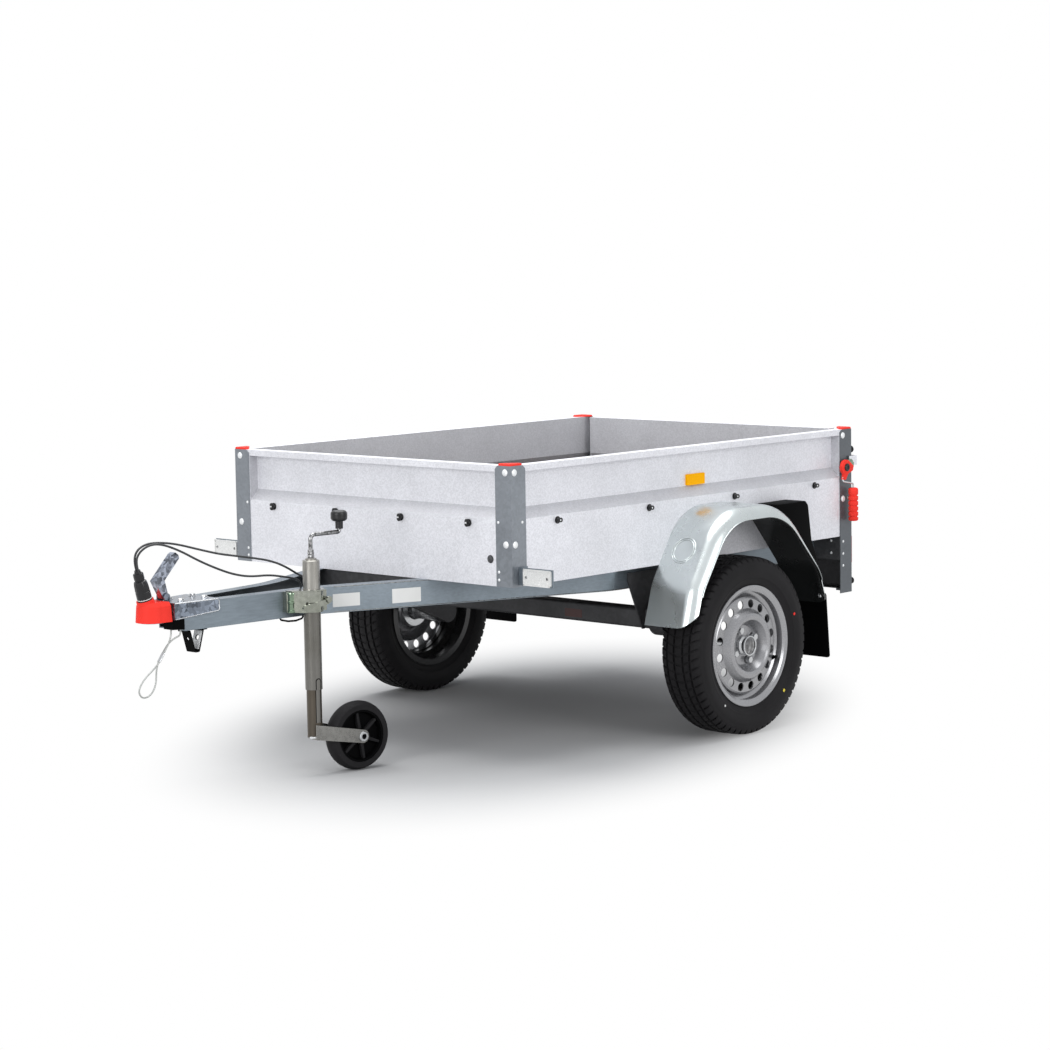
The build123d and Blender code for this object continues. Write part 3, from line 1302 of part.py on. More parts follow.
# --------------------------------------------------------- lamps, plates, reflectors
LAMP_Z0 = FRAME_Z0 - 25.0
with BuildPart() as lamp:
    with BuildSketch(Plane.YZ.offset(X_REAR - FIT)):
        with Locations((LAMP_OUT - LAMP_W / 2, LAMP_Z0 + LAMP_H / 2)):
            RectangleRounded(LAMP_W, LAMP_H, 8)
    extrude(amount=-LAMP_D)
    fillet(lamp.faces().sort_by(Axis.X)[0].edges(), 6)
keep(both_sides(lamp), "rear_lamps")

PLATE_W = 524.0
with BuildPart() as plate_holder:
    with BuildSketch(Plane.YZ.offset(X_REAR + POST_T - FIT)):
        with Locations((0, FRAME_Z0 - 8)):
            RectangleRounded(PLATE_W, 112, 6)
    extrude(amount=-5)
keep(plate_holder, "plate_holder")

BUFFER_R = 11.0
with BuildPart() as buffers:
    for z_buffer in (BOX_Z1 - 70, CROSS_Z0 + 18):
        with BuildSketch(Plane.YZ.offset(X_REAR)):
            with Locations((HALF_W - 34, z_buffer)):
                Circle(BUFFER_R)
        extrude(amount=-BUFFER_DEPTH)
keep(both_sides(buffers), "rear_buffers")

MARKER_X = X_FRONT - 26.0
with BuildPart() as marker_holder:
    with BuildSketch(Plane.XY.offset(BOX_Z0 + 6)):
        with BuildLine():
            Polyline(
                (MARKER_X, HALF_W + FIT), (MARKER_X, 694), (MARKER_X - 4, 694),
                (MARKER_X - 4, HALF_W + FIT + 4), (MARKER_X - 34, HALF_W + FIT + 4),
                (MARKER_X - 34, HALF_W + FIT), close=True,
            )
        make_face()
    extrude(amount=50)
keep(both_sides(marker_holder), "marker_holders")

with BuildPart() as front_reflector:
    with BuildSketch(Plane.YZ.offset(MARKER_X)):
        with Locations((641, BOX_Z0 + 31)):
            RectangleRounded(98, 44, 5)
    extrude(amount=8)
keep(both_sides(front_reflector), "front_reflectors")

with BuildPart() as side_reflector:
    with BuildSketch(Plane.XZ.offset(-(WALL_Y - RECESS))):
        with Locations((AXLE_X + 28, BOX_Z0 + 236)):
            RectangleRounded(84, 33, 3)
    extrude(amount=-7)
keep(both_sides(side_reflector), "side_reflectors")

# cover knobs: heads on the walls just under the sloped band
KNOB_HEAD_R = 9.0
KNOB_HEAD_H = 13.0
KNOB_Z = BOX_Z0 + 173.0
SIDE_MID = (X_FRONT + X_REAR) / 2
SIDE_STEP = 403.0
END_STEP = 268.0
with BuildPart() as side_knobs:
    with BuildSketch(Plane.XZ.offset(-WALL_Y)):
        for place in (-1.5, -0.5, 0.5, 1.5):
            with Locations((SIDE_MID + place * SIDE_STEP, KNOB_Z)):
                Circle(KNOB_HEAD_R)
    extrude(amount=-KNOB_HEAD_H)
side_pairs = both_sides(side_knobs)
with BuildPart() as cover_knobs:
    add(side_pairs.part)
    with BuildSketch(Plane.YZ.offset(WALL_X)):
        for place in (-1.5, -0.5, 0.5, 1.5):
            with Locations((place * END_STEP, KNOB_Z)):
                Circle(KNOB_HEAD_R)
    extrude(amount=KNOB_HEAD_H)
keep(cover_knobs, "cover_knobs")

with BuildPart() as tailgate_knobs:
    with BuildSketch(Plane.YZ.offset(GATE_X)):
        for place in (-1.5, -0.5, 0.5, 1.5):
            with Locations((place * END_STEP, KNOB_Z)):
                Circle(KNOB_HEAD_R)
    extrude(amount=-KNOB_HEAD_H)
keep(tailgate_knobs, "tailgate_knobs")
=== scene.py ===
"""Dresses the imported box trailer: finishes, fasteners, tyres, cables and trim."""
from __future__ import annotations

import json
import logging
import math
from dataclasses import dataclass
from enum import Enum
from typing import Sequence

import bmesh
import bpy
from mathutils import Matrix, Vector

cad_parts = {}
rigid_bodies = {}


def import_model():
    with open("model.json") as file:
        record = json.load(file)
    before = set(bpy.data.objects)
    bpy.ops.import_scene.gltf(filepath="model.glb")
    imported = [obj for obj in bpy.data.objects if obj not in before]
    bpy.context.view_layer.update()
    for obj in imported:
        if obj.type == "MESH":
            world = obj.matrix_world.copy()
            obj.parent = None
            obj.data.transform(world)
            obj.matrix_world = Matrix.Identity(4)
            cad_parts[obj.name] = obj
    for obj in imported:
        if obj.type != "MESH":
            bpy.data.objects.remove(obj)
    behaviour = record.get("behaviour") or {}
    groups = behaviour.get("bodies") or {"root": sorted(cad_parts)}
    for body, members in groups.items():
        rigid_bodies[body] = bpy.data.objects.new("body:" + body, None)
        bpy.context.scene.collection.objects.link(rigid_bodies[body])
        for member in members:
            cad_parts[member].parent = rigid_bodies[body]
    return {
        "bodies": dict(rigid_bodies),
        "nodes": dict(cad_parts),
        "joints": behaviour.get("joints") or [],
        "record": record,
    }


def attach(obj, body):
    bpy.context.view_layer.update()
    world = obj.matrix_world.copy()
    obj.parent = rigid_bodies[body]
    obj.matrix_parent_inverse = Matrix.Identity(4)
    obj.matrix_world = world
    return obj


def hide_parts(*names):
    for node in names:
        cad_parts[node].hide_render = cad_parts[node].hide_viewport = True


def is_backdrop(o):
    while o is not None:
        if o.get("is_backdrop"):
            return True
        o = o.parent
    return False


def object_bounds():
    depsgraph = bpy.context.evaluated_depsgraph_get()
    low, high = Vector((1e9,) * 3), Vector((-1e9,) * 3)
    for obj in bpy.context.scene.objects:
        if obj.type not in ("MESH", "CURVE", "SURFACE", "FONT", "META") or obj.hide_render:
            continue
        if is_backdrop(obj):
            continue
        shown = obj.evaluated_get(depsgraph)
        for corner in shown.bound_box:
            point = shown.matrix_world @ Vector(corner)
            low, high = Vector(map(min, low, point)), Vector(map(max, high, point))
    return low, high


LOG = logging.getLogger("trailer")
MM = 0.001
Flat = tuple[float, float]
Point = tuple[float, float, float]
Colour = tuple[float, float, float]
Outline = tuple[Flat, ...]
Mesh = bpy.types.Mesh
SIDES = {1: "left", -1: "right"}

# Stations shared by several sub-assemblies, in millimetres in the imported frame.
AXLE_X = -485.5
AXLE_Z = 267.0
FRONT_X = 387.5
REAR_X = -1208.5
HALF_WIDTH = 567.0
JOCKEY_X = 749.5
JOCKEY_Y = 141.0
ARM_TIP = (1200, 100)       # a drawbar arm's outer face, from the axle and from the middle
ARM_SLOPE = 0.41714         # how far the face runs outwards for each step back


def arm_face(x: float) -> float:
    """Distance from the middle to an arm's outer face at x before the axle."""
    return ARM_TIP[1] + ARM_SLOPE * (ARM_TIP[0] - x)


# ---------------------------------------------------------------- finishes
class Grain(Enum):
    """Kind of fine surface pattern that a finish carries."""

    SPANGLE = "spangle"
    BRUSHED = "brushed"
    MOULDED = "moulded"
    PRISM = "prism"
    BOARD = "board"
    UPRIGHT = "upright"


# Coordinates of the drawn-out patterns, as a share of the plain ones.
STRETCH = {Grain.BRUSHED: (0.06, 1, 1), Grain.UPRIGHT: (1, 1, 0.05), Grain.BOARD: (0.1, 1, 1)}


class PaintedShadeAndTone(Enum):
    """Faces of a piece that carry painted shade, or the brighter colour of a tube's upper part."""

    NONE = "none"
    BAND = "band"               # painted shade on a wall's inner side and on the slope between its panels
    ARCH = "arch"               # painted shade on the inner face of a mudguard
    INBOARD = "inboard"         # painted shade on the side of a wheel that looks at the axle
    INNER = "inner"             # painted shade on the side of a long member that looks at the middle
    UPPER = "upper"             # part of a tube above the frame


class NodeBook:
    """Short hand for laying out a node tree."""

    def __init__(self, tree: bpy.types.NodeTree) -> None:
        """Keep the tree that is filled."""
        self.tree = tree

    @classmethod
    def blank(cls, owner: bpy.types.Material | bpy.types.World) -> NodeBook:
        """Start from an owner's own tree, emptied.

        Args:
            owner: The material or world whose tree is filled.

        Returns:
            The book on that tree.
        """
        owner.use_nodes = True
        owner.node_tree.nodes.clear()
        return cls(owner.node_tree)

    def add(self, kind: str, feeds: dict[int | str, object] | None = None,
            **settings: object) -> bpy.types.Node:
        """Add a node, set its properties and fill its inputs.

        Args:
            kind: Blender's node type name.
            feeds: Socket to link or value to set, for each input's name or place.
            settings: The node's properties.

        Returns:
            The new node.
        """
        node = self.tree.nodes.new(kind)
        for key, value in settings.items():
            setattr(node, key, value)
        for key, value in (feeds or {}).items():
            if isinstance(value, bpy.types.NodeSocket):
                self.tree.links.new(value, node.inputs[key])
            else:
                node.inputs[key].default_value = value
        return node

    def number(self, operation: str, *terms: object) -> bpy.types.NodeSocket:
        """Work on numbers; the terms are sockets or values."""
        return self.add("ShaderNodeMath", dict(enumerate(terms)), operation=operation).outputs[0]

    def vector(self, operation: str, *terms: object) -> bpy.types.NodeSocket:
        """Work on vectors; the terms are sockets or values."""
        node = self.add("ShaderNodeVectorMath", dict(enumerate(terms)), operation=operation)
        return node.outputs["Value" if operation in ("LENGTH", "DOT_PRODUCT") else "Vector"]

    def multiply(self, *terms: object) -> bpy.types.NodeSocket:
        """Multiply two colours; the terms are the share of the second, and the colours."""
        return self.add("ShaderNodeMix", dict(zip((0, 6, 7), terms)), data_type="RGBA",
                        blend_type="MULTIPLY").outputs[2]

    def mix(self, *terms: bpy.types.NodeSocket) -> bpy.types.NodeSocket:
        """Mix two surfaces; the terms are the share of the second, and the surfaces."""
        return self.add("ShaderNodeMixShader", dict(enumerate(terms))).outputs[0]

    def ramp(self, source: bpy.types.NodeSocket, low: Colour, high: Colour, start: float,
             end: float) -> bpy.types.NodeSocket:
        """Map a grey value to a run between two colours.

        Args:
            source: Grey value to read.
            low: Colour at the start.
            high: Colour at the end.
            start: Grey value of the start.
            end: Grey value of the end.

        Returns:
            The colour socket.
        """
        node = self.add("ShaderNodeValToRGB", {"Fac": source})
        stops = node.color_ramp.elements
        stops[0].position, stops[1].position = start, end
        stops[0].color, stops[1].color = (*low, 1), (*high, 1)
        return node.outputs["Color"]


# Where the painted shade and a tube's brighter upper part lie, in metres and as parts of a face's
# normal.
SLOPE_RISE = (0.69, 0.2)    # rise of a wall's slope, and how far it may differ
INWARD = {"wall": -0.2, "member": -0.012, "arch": -0.02}  # faces that look inwards lie below
UPPER_FROM = 0.5225
INBOARD_TO = 0.684
ARCH_CENTRE = (AXLE_X * MM, 0, 0.30)
ROUGH_SPREAD = 0.09         # how far the grain changes the roughness
COAT_ROUGH = 0.12
RELIEF = 0.0008             # height of the grain in metres


def shade(colour: Colour, factor: float) -> Colour:
    """Multiply a colour by a factor, kept below white."""
    return tuple(min(0.98, channel * factor) for channel in colour)


@dataclass(frozen=True)
class Finish:
    """A surface finish, made once as a procedural material."""

    name: str
    colour: Colour
    rough: float = 0.5
    metal: float = 0.0
    grain: Grain = Grain.MOULDED
    grain_size: float = 8.0     # mm across one grain
    contrast: float = 0.1       # how far the grain changes the colour
    patch: float = 0.08         # how far broad stains change the colour
    bump: float = 0.05
    coat: float = 0.0
    tint: Colour | None = None  # colour of the broad stains
    gloss: float = 0.5          # level of the plain mirror reflection
    shade_and_tone: PaintedShadeAndTone = PaintedShadeAndTone.NONE
    shade_and_tone_share: float = 1.0   # colour of the masked faces as a share of the rest: below one for painted shade

    def material(self) -> bpy.types.Material:
        """Return the finish's material, building it on first use."""
        title = f"{self.name}_finish"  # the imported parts' own materials have the plain names
        found = bpy.data.materials.get(title)
        if found:
            return found
        made = bpy.data.materials.new(title)
        book = NodeBook.blank(made)
        place = book.add("ShaderNodeTexCoord").outputs["Object"]
        broad = book.add("ShaderNodeTexNoise", {
            "Vector": place, "Scale": 4.5, "Detail": 4.0, "Roughness": 0.6}).outputs["Fac"]
        fine = self._pattern(book, place)
        stained = self.tint or shade(self.colour, 1 - 2.4 * self.patch)
        base = book.ramp(broad, stained, shade(self.colour, 1 + self.patch), 0.32, 0.62)
        grain = book.ramp(fine, (1 - self.contrast,) * 3, (1, 1, 1), 0.2, 0.8)
        coloured = book.multiply(1.0, base, grain)
        # Painted shade: the masked faces are darkened, except a tube's upper part, which is
        # brightened.
        if self.shade_and_tone is not PaintedShadeAndTone.NONE:
            coloured = book.multiply(self._shade_and_tone_mask(book), coloured,
                                     (*(self.shade_and_tone_share,) * 3, 1))
        spread = book.add("ShaderNodeMapRange", {
            "Value": fine, "To Min": max(0.05, self.rough - ROUGH_SPREAD),
            "To Max": min(1.0, self.rough + ROUGH_SPREAD)})
        relief = book.add("ShaderNodeBump", {
            "Height": fine, "Strength": self.bump, "Distance": RELIEF})
        shader = book.add("ShaderNodeBsdfPrincipled", {
            "Base Color": coloured, "Metallic": self.metal, "Roughness": spread.outputs[0],
            "Normal": relief.outputs[0], "Specular IOR Level": self.gloss,
            "Coat Weight": self.coat, "Coat Roughness": COAT_ROUGH})
        book.add("ShaderNodeOutputMaterial", {"Surface": shader.outputs[0]})
        return made

    def _shade_and_tone_mask(self, book: NodeBook) -> bpy.types.NodeSocket:
        """Build the mask of the faces that carry painted shade, or a tube's brighter upper part.

        Args:
            book: The node tree.

        Returns:
            One on those faces and zero elsewhere.
        """
        source = book.add("ShaderNodeTexCoord").outputs
        place, normal = source["Object"], source["Normal"]
        at = book.add("ShaderNodeSeparateXYZ", {0: place}).outputs
        facing = book.add("ShaderNodeSeparateXYZ", {0: normal}).outputs
        if self.shade_and_tone is PaintedShadeAndTone.BAND:
            slope = book.number("COMPARE", facing["Z"], *SLOPE_RISE)
            outward = book.vector("DOT_PRODUCT", book.vector("MULTIPLY", place, (1, 1, 0)), normal)
            return book.number("MAXIMUM", slope, book.number("LESS_THAN", outward, INWARD["wall"]))
        if self.shade_and_tone is PaintedShadeAndTone.INNER:
            outward = book.number("MULTIPLY", at["Y"], facing["Y"])
            return book.number("LESS_THAN", outward, INWARD["member"])
        if self.shade_and_tone is PaintedShadeAndTone.UPPER:
            return book.number("GREATER_THAN", at["Z"], UPPER_FROM)
        if self.shade_and_tone is PaintedShadeAndTone.INBOARD:
            return book.number("LESS_THAN", book.number("ABSOLUTE", at["Y"]), INBOARD_TO)
        spoke = book.vector("MULTIPLY", book.vector("SUBTRACT", place, ARCH_CENTRE), (1, 0, 1))
        outward = book.vector("DOT_PRODUCT", spoke, normal)
        return book.number("LESS_THAN", outward, INWARD["arch"])

    def _pattern(self, book: NodeBook, place: bpy.types.NodeSocket) -> bpy.types.NodeSocket:
        """Build the fine pattern of this finish's grain.

        Args:
            book: The node tree.
            place: The coordinates to read.

        Returns:
            A grey value between 0 and 1.
        """
        scale = 1 / (self.grain_size * MM)
        if self.grain in (Grain.SPANGLE, Grain.PRISM):
            cells = book.add("ShaderNodeTexVoronoi", {"Vector": place, "Scale": scale}).outputs
            if self.grain is Grain.PRISM:
                return cells["Distance"]
            return book.add("ShaderNodeRGBToBW", {0: cells["Color"]}).outputs[0]
        drawn = book.add("ShaderNodeMapping", {
            "Vector": place, "Scale": STRETCH.get(self.grain, (1, 1, 1))})
        return book.add("ShaderNodeTexNoise", {
            "Vector": drawn.outputs[0], "Scale": scale, "Detail": 3.0}).outputs["Fac"]


# The walls' slope and inner sides are darkened to 0.72 by the mask: painted shade.
PANEL_ZINC = Finish("panel_zinc", (0.80, 0.80, 0.835), 0.5, 0.3, Grain.SPANGLE, 4.0, 0.14, 0.03,
                    0.02, shade_and_tone=PaintedShadeAndTone.BAND, shade_and_tone_share=0.72)
# The arms' inner faces are darkened to 0.3 by the mask: painted shade.
FRAME_ZINC = Finish("frame_zinc", (0.225, 0.265, 0.30), 0.36, 0.75, Grain.BRUSHED, 5.0, 0.22, 0.06,
                    0.015, shade_and_tone=PaintedShadeAndTone.INNER, shade_and_tone_share=0.3)
POST_ZINC = Finish("post_zinc", (0.25, 0.27, 0.295), 0.42, 0.6, Grain.SPANGLE, 7.0, 0.12, 0.05,
                   0.02)
# The guards' inner faces are darkened to 0.05 by the mask: painted shade.
GUARD_ZINC = Finish("guard_zinc", (0.62, 0.665, 0.665), 0.28, 0.88, Grain.MOULDED, 90.0, 0.05, 0.03,
                    0.0, shade_and_tone=PaintedShadeAndTone.ARCH, shade_and_tone_share=0.05)
# A darker copy of the post finish for the rear posts: painted shade.
SHADED_POST_ZINC = Finish("shaded_post_zinc", (0.13, 0.142, 0.155), 0.42, 0.6, Grain.SPANGLE, 7.0, 0.12,
                        0.05, 0.01)
COUPLING_ZINC = Finish("coupling_zinc", (0.27, 0.31, 0.375), 0.2, 0.88, Grain.SPANGLE, 10.0, 0.68,
                       0.1, 0.01)
LEVER_ZINC = Finish("lever_zinc", (0.44, 0.48, 0.57), 0.18, 0.92, Grain.SPANGLE, 9.0, 0.75, 0.1,
                    0.01)
DARK_STEEL = Finish("dark_steel", (0.072, 0.072, 0.075), 0.45, 0.2, Grain.SPANGLE, 12.0, 0.2, 0.12,
                    0.03, gloss=0.2)
YELLOW_ZINC = Finish("yellow_zinc", (0.36, 0.37, 0.33), 0.18, 0.95, Grain.MOULDED, 14.0, 0.35, 0.06,
                     0.004, tint=(0.27, 0.30, 0.23))
GREEN_ZINC = Finish("green_zinc", (0.25, 0.33, 0.245), 0.14, 0.95, Grain.MOULDED, 9.0, 0.3, 0.12,
                    0.004, tint=(0.16, 0.23, 0.15))
YELLOW_MARK = Finish("yellow_mark", (0.75, 0.6, 0.05), 0.6)
BRIGHT_ZINC = Finish("bright_zinc", (0.60, 0.61, 0.62), 0.25, 0.95, Grain.BRUSHED, 2.0, 0.1, 0.05,
                     0.02)
TUBE_STEEL = Finish("tube_steel", (0.165, 0.16, 0.148), 0.3, 0.85, Grain.UPRIGHT, 3.0, 0.2, 0.12,
                    0.02, tint=(0.115, 0.11, 0.092), shade_and_tone=PaintedShadeAndTone.UPPER, shade_and_tone_share=2.0)
LEG_STEEL = Finish("leg_steel", (0.085, 0.072, 0.056), 0.38, 0.7, Grain.UPRIGHT, 3.0, 0.25, 0.14,
                   0.03, tint=(0.05, 0.042, 0.033))
FORK_STEEL = Finish("fork_steel", (0.26, 0.255, 0.24), 0.28, 0.85, Grain.MOULDED, 12.0, 0.25, 0.12,
                    0.01)
PALE_ZINC = Finish("pale_zinc", (0.82, 0.83, 0.83), 0.4, 0.3, Grain.MOULDED, 2.0, 0.04, 0.03, 0.01)
HUB_STEEL = Finish("hub_steel", (0.34, 0.34, 0.345), 0.16, 0.95, Grain.SPANGLE, 7.0, 0.65, 0.1,
                   0.01)
# The rims' inboard sides are darkened to 0.10 by the mask: painted shade.
RIM_SILVER = Finish("rim_silver", (0.33, 0.33, 0.34), 0.26, 0.7, Grain.MOULDED, 1.2, 0.05, 0.03,
                    0.01, 0.3, shade_and_tone=PaintedShadeAndTone.INBOARD, shade_and_tone_share=0.10)
TYRE_RUBBER = Finish("tyre_rubber", (0.0145, 0.0138, 0.0148), 0.6, 0.0, Grain.MOULDED, 2.5, 0.2,
                     0.12, 0.06, gloss=0.12)
SOFT_BLACK = Finish("soft_black", (0.0022, 0.0022, 0.0024), 0.55, 0.0, Grain.MOULDED, 1.5, 0.2, 0.1,
                    0.04, gloss=0.03)
SHINY_BLACK = Finish("shiny_black", (0.008, 0.008, 0.009), 0.3, 0.0, Grain.MOULDED, 1.5, 0.15, 0.1,
                     0.02, gloss=0.4)
RED_PLASTIC = Finish("red_plastic", (0.86, 0.046, 0.033), 0.45, 0.0, Grain.MOULDED, 1.5, 0.06, 0.04,
                     0.02, gloss=0.06)
RED_LENS = Finish("red_lens", (0.42, 0.01, 0.012), 0.18, 0.0, Grain.PRISM, 3.5, 0.3, 0.04, 0.2, 0.6)
AMBER_LENS = Finish("amber_lens", (1.0, 0.45, 0.004), 0.5, 0.0, Grain.PRISM, 5.0, 0.06, 0.02, 0.1,
                    gloss=0.04)
CLEAR_LENS = Finish("clear_lens", (0.8, 0.8, 0.78), 0.2, 0.15, Grain.PRISM, 4.0, 0.16, 0.03, 0.2,
                    0.5)
WHITE_LABEL = Finish("white_label", (0.68, 0.68, 0.66), 0.55, 0.0, Grain.MOULDED, 1.0, 0.04, 0.03,
                     0.01)
DARK_LABEL = Finish("dark_label", (0.06, 0.014, 0.012), 0.45, 0.0, Grain.MOULDED, 1.0, 0.05, 0.05,
                    0.01)
CABLE_BLACK = Finish("cable_black", (0.022, 0.023, 0.025), 0.38, 0.0, Grain.MOULDED, 1.5, 0.15, 0.1,
                     0.02)
CABLE_GREY = Finish("cable_grey", (0.50, 0.51, 0.49), 0.4, 0.3, Grain.BRUSHED, 1.2, 0.2, 0.05, 0.05)
FLOOR_PLY = Finish("floor_ply", (0.055, 0.035, 0.022), 0.45, 0.0, Grain.BOARD, 12.0, 0.3, 0.1, 0.04,
                   0.15)
PLATE_BLACK = Finish("plate_black", (0.015, 0.015, 0.015), 0.5, 0.0, Grain.MOULDED, 1.5, 0.1, 0.1,
                     0.02, gloss=0.25)

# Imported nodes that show, by their finish.
NODE_FINISHES: dict[Finish, str] = {
    FRAME_ZINC: "drawbar_left drawbar_right marker_holders",
    PANEL_ZINC: "side_wall_left side_wall_right front_wall tailgate",
    POST_ZINC: "front_posts",
    SHADED_POST_ZINC: "rear_posts",
    GUARD_ZINC: "mudguard_left mudguard_right",
    DARK_STEEL: "crossmembers rear_crossmember axle_tube axle_brackets swing_arms",
    COUPLING_ZINC: "coupling_body",
    LEVER_ZINC: "coupling_handle",
    YELLOW_ZINC: "jockey_clamp",
    FORK_STEEL: "jockey_fork",
    BRIGHT_ZINC: "cable_sleeve hub_left hub_right",
    HUB_STEEL: "jockey_crank",
    TUBE_STEEL: "jockey_outer_tube",
    LEG_STEEL: "jockey_inner_tube",
    RIM_SILVER: "rim_left rim_right",
    TYRE_RUBBER: "tyre_left tyre_right jockey_tyre rear_buffers",
    SOFT_BLACK: "mud_flaps wheel_chocks drawbar_strap cable_clip cable_upper cable_lower "
                "jockey_rim",
    SHINY_BLACK: "trailer_plug crank_knob cover_knobs tailgate_knobs",
    RED_PLASTIC: "coupling_cap post_caps latch_left latch_right latch_grip_left latch_grip_right",
    PLATE_BLACK: "plate_holder",
    RED_LENS: "rear_lamps",
    AMBER_LENS: "side_reflectors",
    CLEAR_LENS: "front_reflectors",
    CABLE_GREY: "safety_cable",
    FLOOR_PLY: "floor_board",
}


# ------------------------------------------------------------- mesh making
def link(name: str, data: bpy.types.ID) -> bpy.types.Object:
    """Put data into the scene as an object.

    Args:
        name: Name of the object.
        data: Its mesh, curve, lamp or camera.

    Returns:
        The linked object.
    """
    made = bpy.data.objects.new(name, data)
    bpy.context.scene.collection.objects.link(made)
    return made


def store(work: bmesh.types.BMesh, mesh: Mesh | None = None) -> Mesh:
    """Write a shape into a mesh, a new one if none is given, and free the shape.

    Args:
        work: The shape.
        mesh: The mesh to fill.

    Returns:
        The mesh.
    """
    mesh = mesh or bpy.data.meshes.new("shape")
    work.to_mesh(mesh)
    work.free()
    return mesh


def skin(work: bmesh.types.BMesh, rings: Sequence[Sequence[bmesh.types.BMVert]]) -> None:
    """Lay faces between neighbouring rings; a ring of one corner is a tip.

    Args:
        work: The shape.
        rings: The rings, each with the same count of corners or with one.
    """
    for ring, following in zip(rings, rings[1:]):
        count = max(len(ring), len(following))
        for step in range(count):
            after = (step + 1) % count
            corners = [ring[step % len(ring)], ring[after % len(ring)],
                       following[after % len(following)], following[step % len(following)]]
            unique = list(dict.fromkeys(corners))
            if len(unique) > 2:
                work.faces.new(unique)


def finish_mesh(name: str, mesh: Mesh, finish: Finish, smooth: float = 40.0) -> bpy.types.Object:
    """Wrap a mesh in an object, give it a finish and shade it.

    Args:
        name: Name of the piece.
        mesh: The mesh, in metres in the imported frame.
        finish: Its surface finish.
        smooth: Angle in degrees up to which neighbouring faces are shaded as one.

    Returns:
        The linked object.
    """
    mesh.name = name
    mesh.materials.clear()
    mesh.materials.append(finish.material())
    work = bmesh.new()
    work.from_mesh(mesh)
    limit = math.radians(smooth)
    for face in work.faces:
        face.smooth = True
    for edge in work.edges:
        edge.smooth = len(edge.link_faces) == 2 and edge.calc_face_angle(0.0) < limit
    return link(name, store(work, mesh))


def close_up(work: bmesh.types.BMesh) -> Mesh:
    """Merge a shape's doubles, turn its faces outwards and store it as a mesh.

    Args:
        work: The shape, which is freed.

    Returns:
        The mesh.
    """
    bmesh.ops.remove_doubles(work, verts=work.verts, dist=1e-6)
    bmesh.ops.recalc_face_normals(work, faces=work.faces)
    return store(work)


def ring_points(radius: float, count: int) -> list[Flat]:
    """Points at even steps round a circle about zero."""
    return [(radius * math.cos(math.tau * k / count), radius * math.sin(math.tau * k / count))
            for k in range(count)]


def lathe(profile: Sequence[Flat], centre: Sequence[float], axis: Sequence[float],
          steps: int = 48, flutes: int = 0, bite: float = 0.0, fluted_from: float = 0.0,
          fluted_to: float = 1e9) -> Mesh:
    """Turn an open or closed profile about an axis.

    Args:
        profile: (distance along the axis, radius) points in millimetres.
        centre: Point on the axis in millimetres.
        axis: Direction of the axis.
        steps: Facets round the axis.
        flutes: Number of grooves along the axis, none if zero.
        bite: Depth of the grooves as a share of the radius.
        fluted_from: Distance along the axis where the grooves start.
        fluted_to: Distance along the axis where they end.

    Returns:
        The closed mesh.
    """
    along = Vector(axis).normalized()
    across = along.orthogonal().normalized()
    third = along.cross(across)
    work = bmesh.new()
    rings: list[list[bmesh.types.BMVert]] = []
    for reach, radius in profile:
        ring = []
        for step in range(steps if radius > 1e-6 else 1):
            angle = math.tau * step / steps
            spoke = across * math.cos(angle) + third * math.sin(angle)
            fluted = fluted_from <= reach <= fluted_to
            wave = 0.5 - 0.5 * math.cos(flutes * angle) if fluted else 0.0
            place = Vector(centre) + along * reach + spoke * radius * (1 - bite * wave)
            ring.append(work.verts.new(place * MM))
        rings.append(ring)
    skin(work, rings)
    for ring in (rings[0], rings[-1]):
        if len(ring) > 2 and profile[0] != profile[-1]:
            work.faces.new(ring)
    return close_up(work)


def prism(outline: Sequence[Flat], origin: Sequence[float], right: Sequence[float],
          up: Sequence[float], depth: float, bevel: float = 0.0) -> Mesh:
    """Extrude a flat outline.

    Args:
        outline: Points in the plane of right and up, in millimetres.
        origin: Where the plane's zero lies.
        right: First direction of the plane.
        up: Second direction of the plane.
        depth: Length of the extrusion along right cross up.
        bevel: Width of the rounding on every edge.

    Returns:
        The closed mesh.
    """
    first, second = Vector(right).normalized(), Vector(up).normalized()
    out = first.cross(second)
    work = bmesh.new()
    near = [work.verts.new((Vector(origin) + first * a + second * b) * MM) for a, b in outline]
    far = [work.verts.new(v.co + out * depth * MM) for v in near]
    work.faces.new(near)
    work.faces.new(list(reversed(far)))
    for index in range(len(near)):
        after = (index + 1) % len(near)
        work.faces.new([near[index], far[index], far[after], near[after]])
    bmesh.ops.recalc_face_normals(work, faces=work.faces)
    if bevel:
        bmesh.ops.bevel(work, geom=list(work.edges), offset=bevel * MM, segments=2, profile=0.6,
                        affect="EDGES", clamp_overlap=True)
    return close_up(work)


def curved_strip(centre: Sequence[float], azimuth: float, radii: Flat, half_width: float,
                 low: float, high: float, rounded: bool = False) -> Mesh:
    """Make a strip that lies on an upright tube.

    Args:
        centre: A point on the tube's axis.
        azimuth: Direction of the strip's middle, in radians.
        radii: Inner and outer radius of the strip.
        half_width: Half its width along the tube's surface.
        low: Height of its foot.
        high: Height of its top.
        rounded: Whether its top is a half circle.

    Returns:
        The closed mesh.
    """
    work = bmesh.new()
    columns = []
    for step in range(13):
        reach = -half_width * 0.995 * math.cos(math.pi * step / 12)
        angle = azimuth + reach / radii[1]
        top = high - half_width + math.sqrt(half_width ** 2 - reach ** 2) if rounded else high
        ring = []
        for radius, z in ((radii[0], low), (radii[1], low), (radii[1], top), (radii[0], top)):
            ring.append(work.verts.new(Vector((centre[0] + radius * math.cos(angle),
                                               centre[1] + radius * math.sin(angle), z)) * MM))
        columns.append(ring)
    skin(work, columns)
    work.faces.new(columns[0])
    work.faces.new(list(reversed(columns[-1])))
    bmesh.ops.recalc_face_normals(work, faces=work.faces)
    return close_up(work)


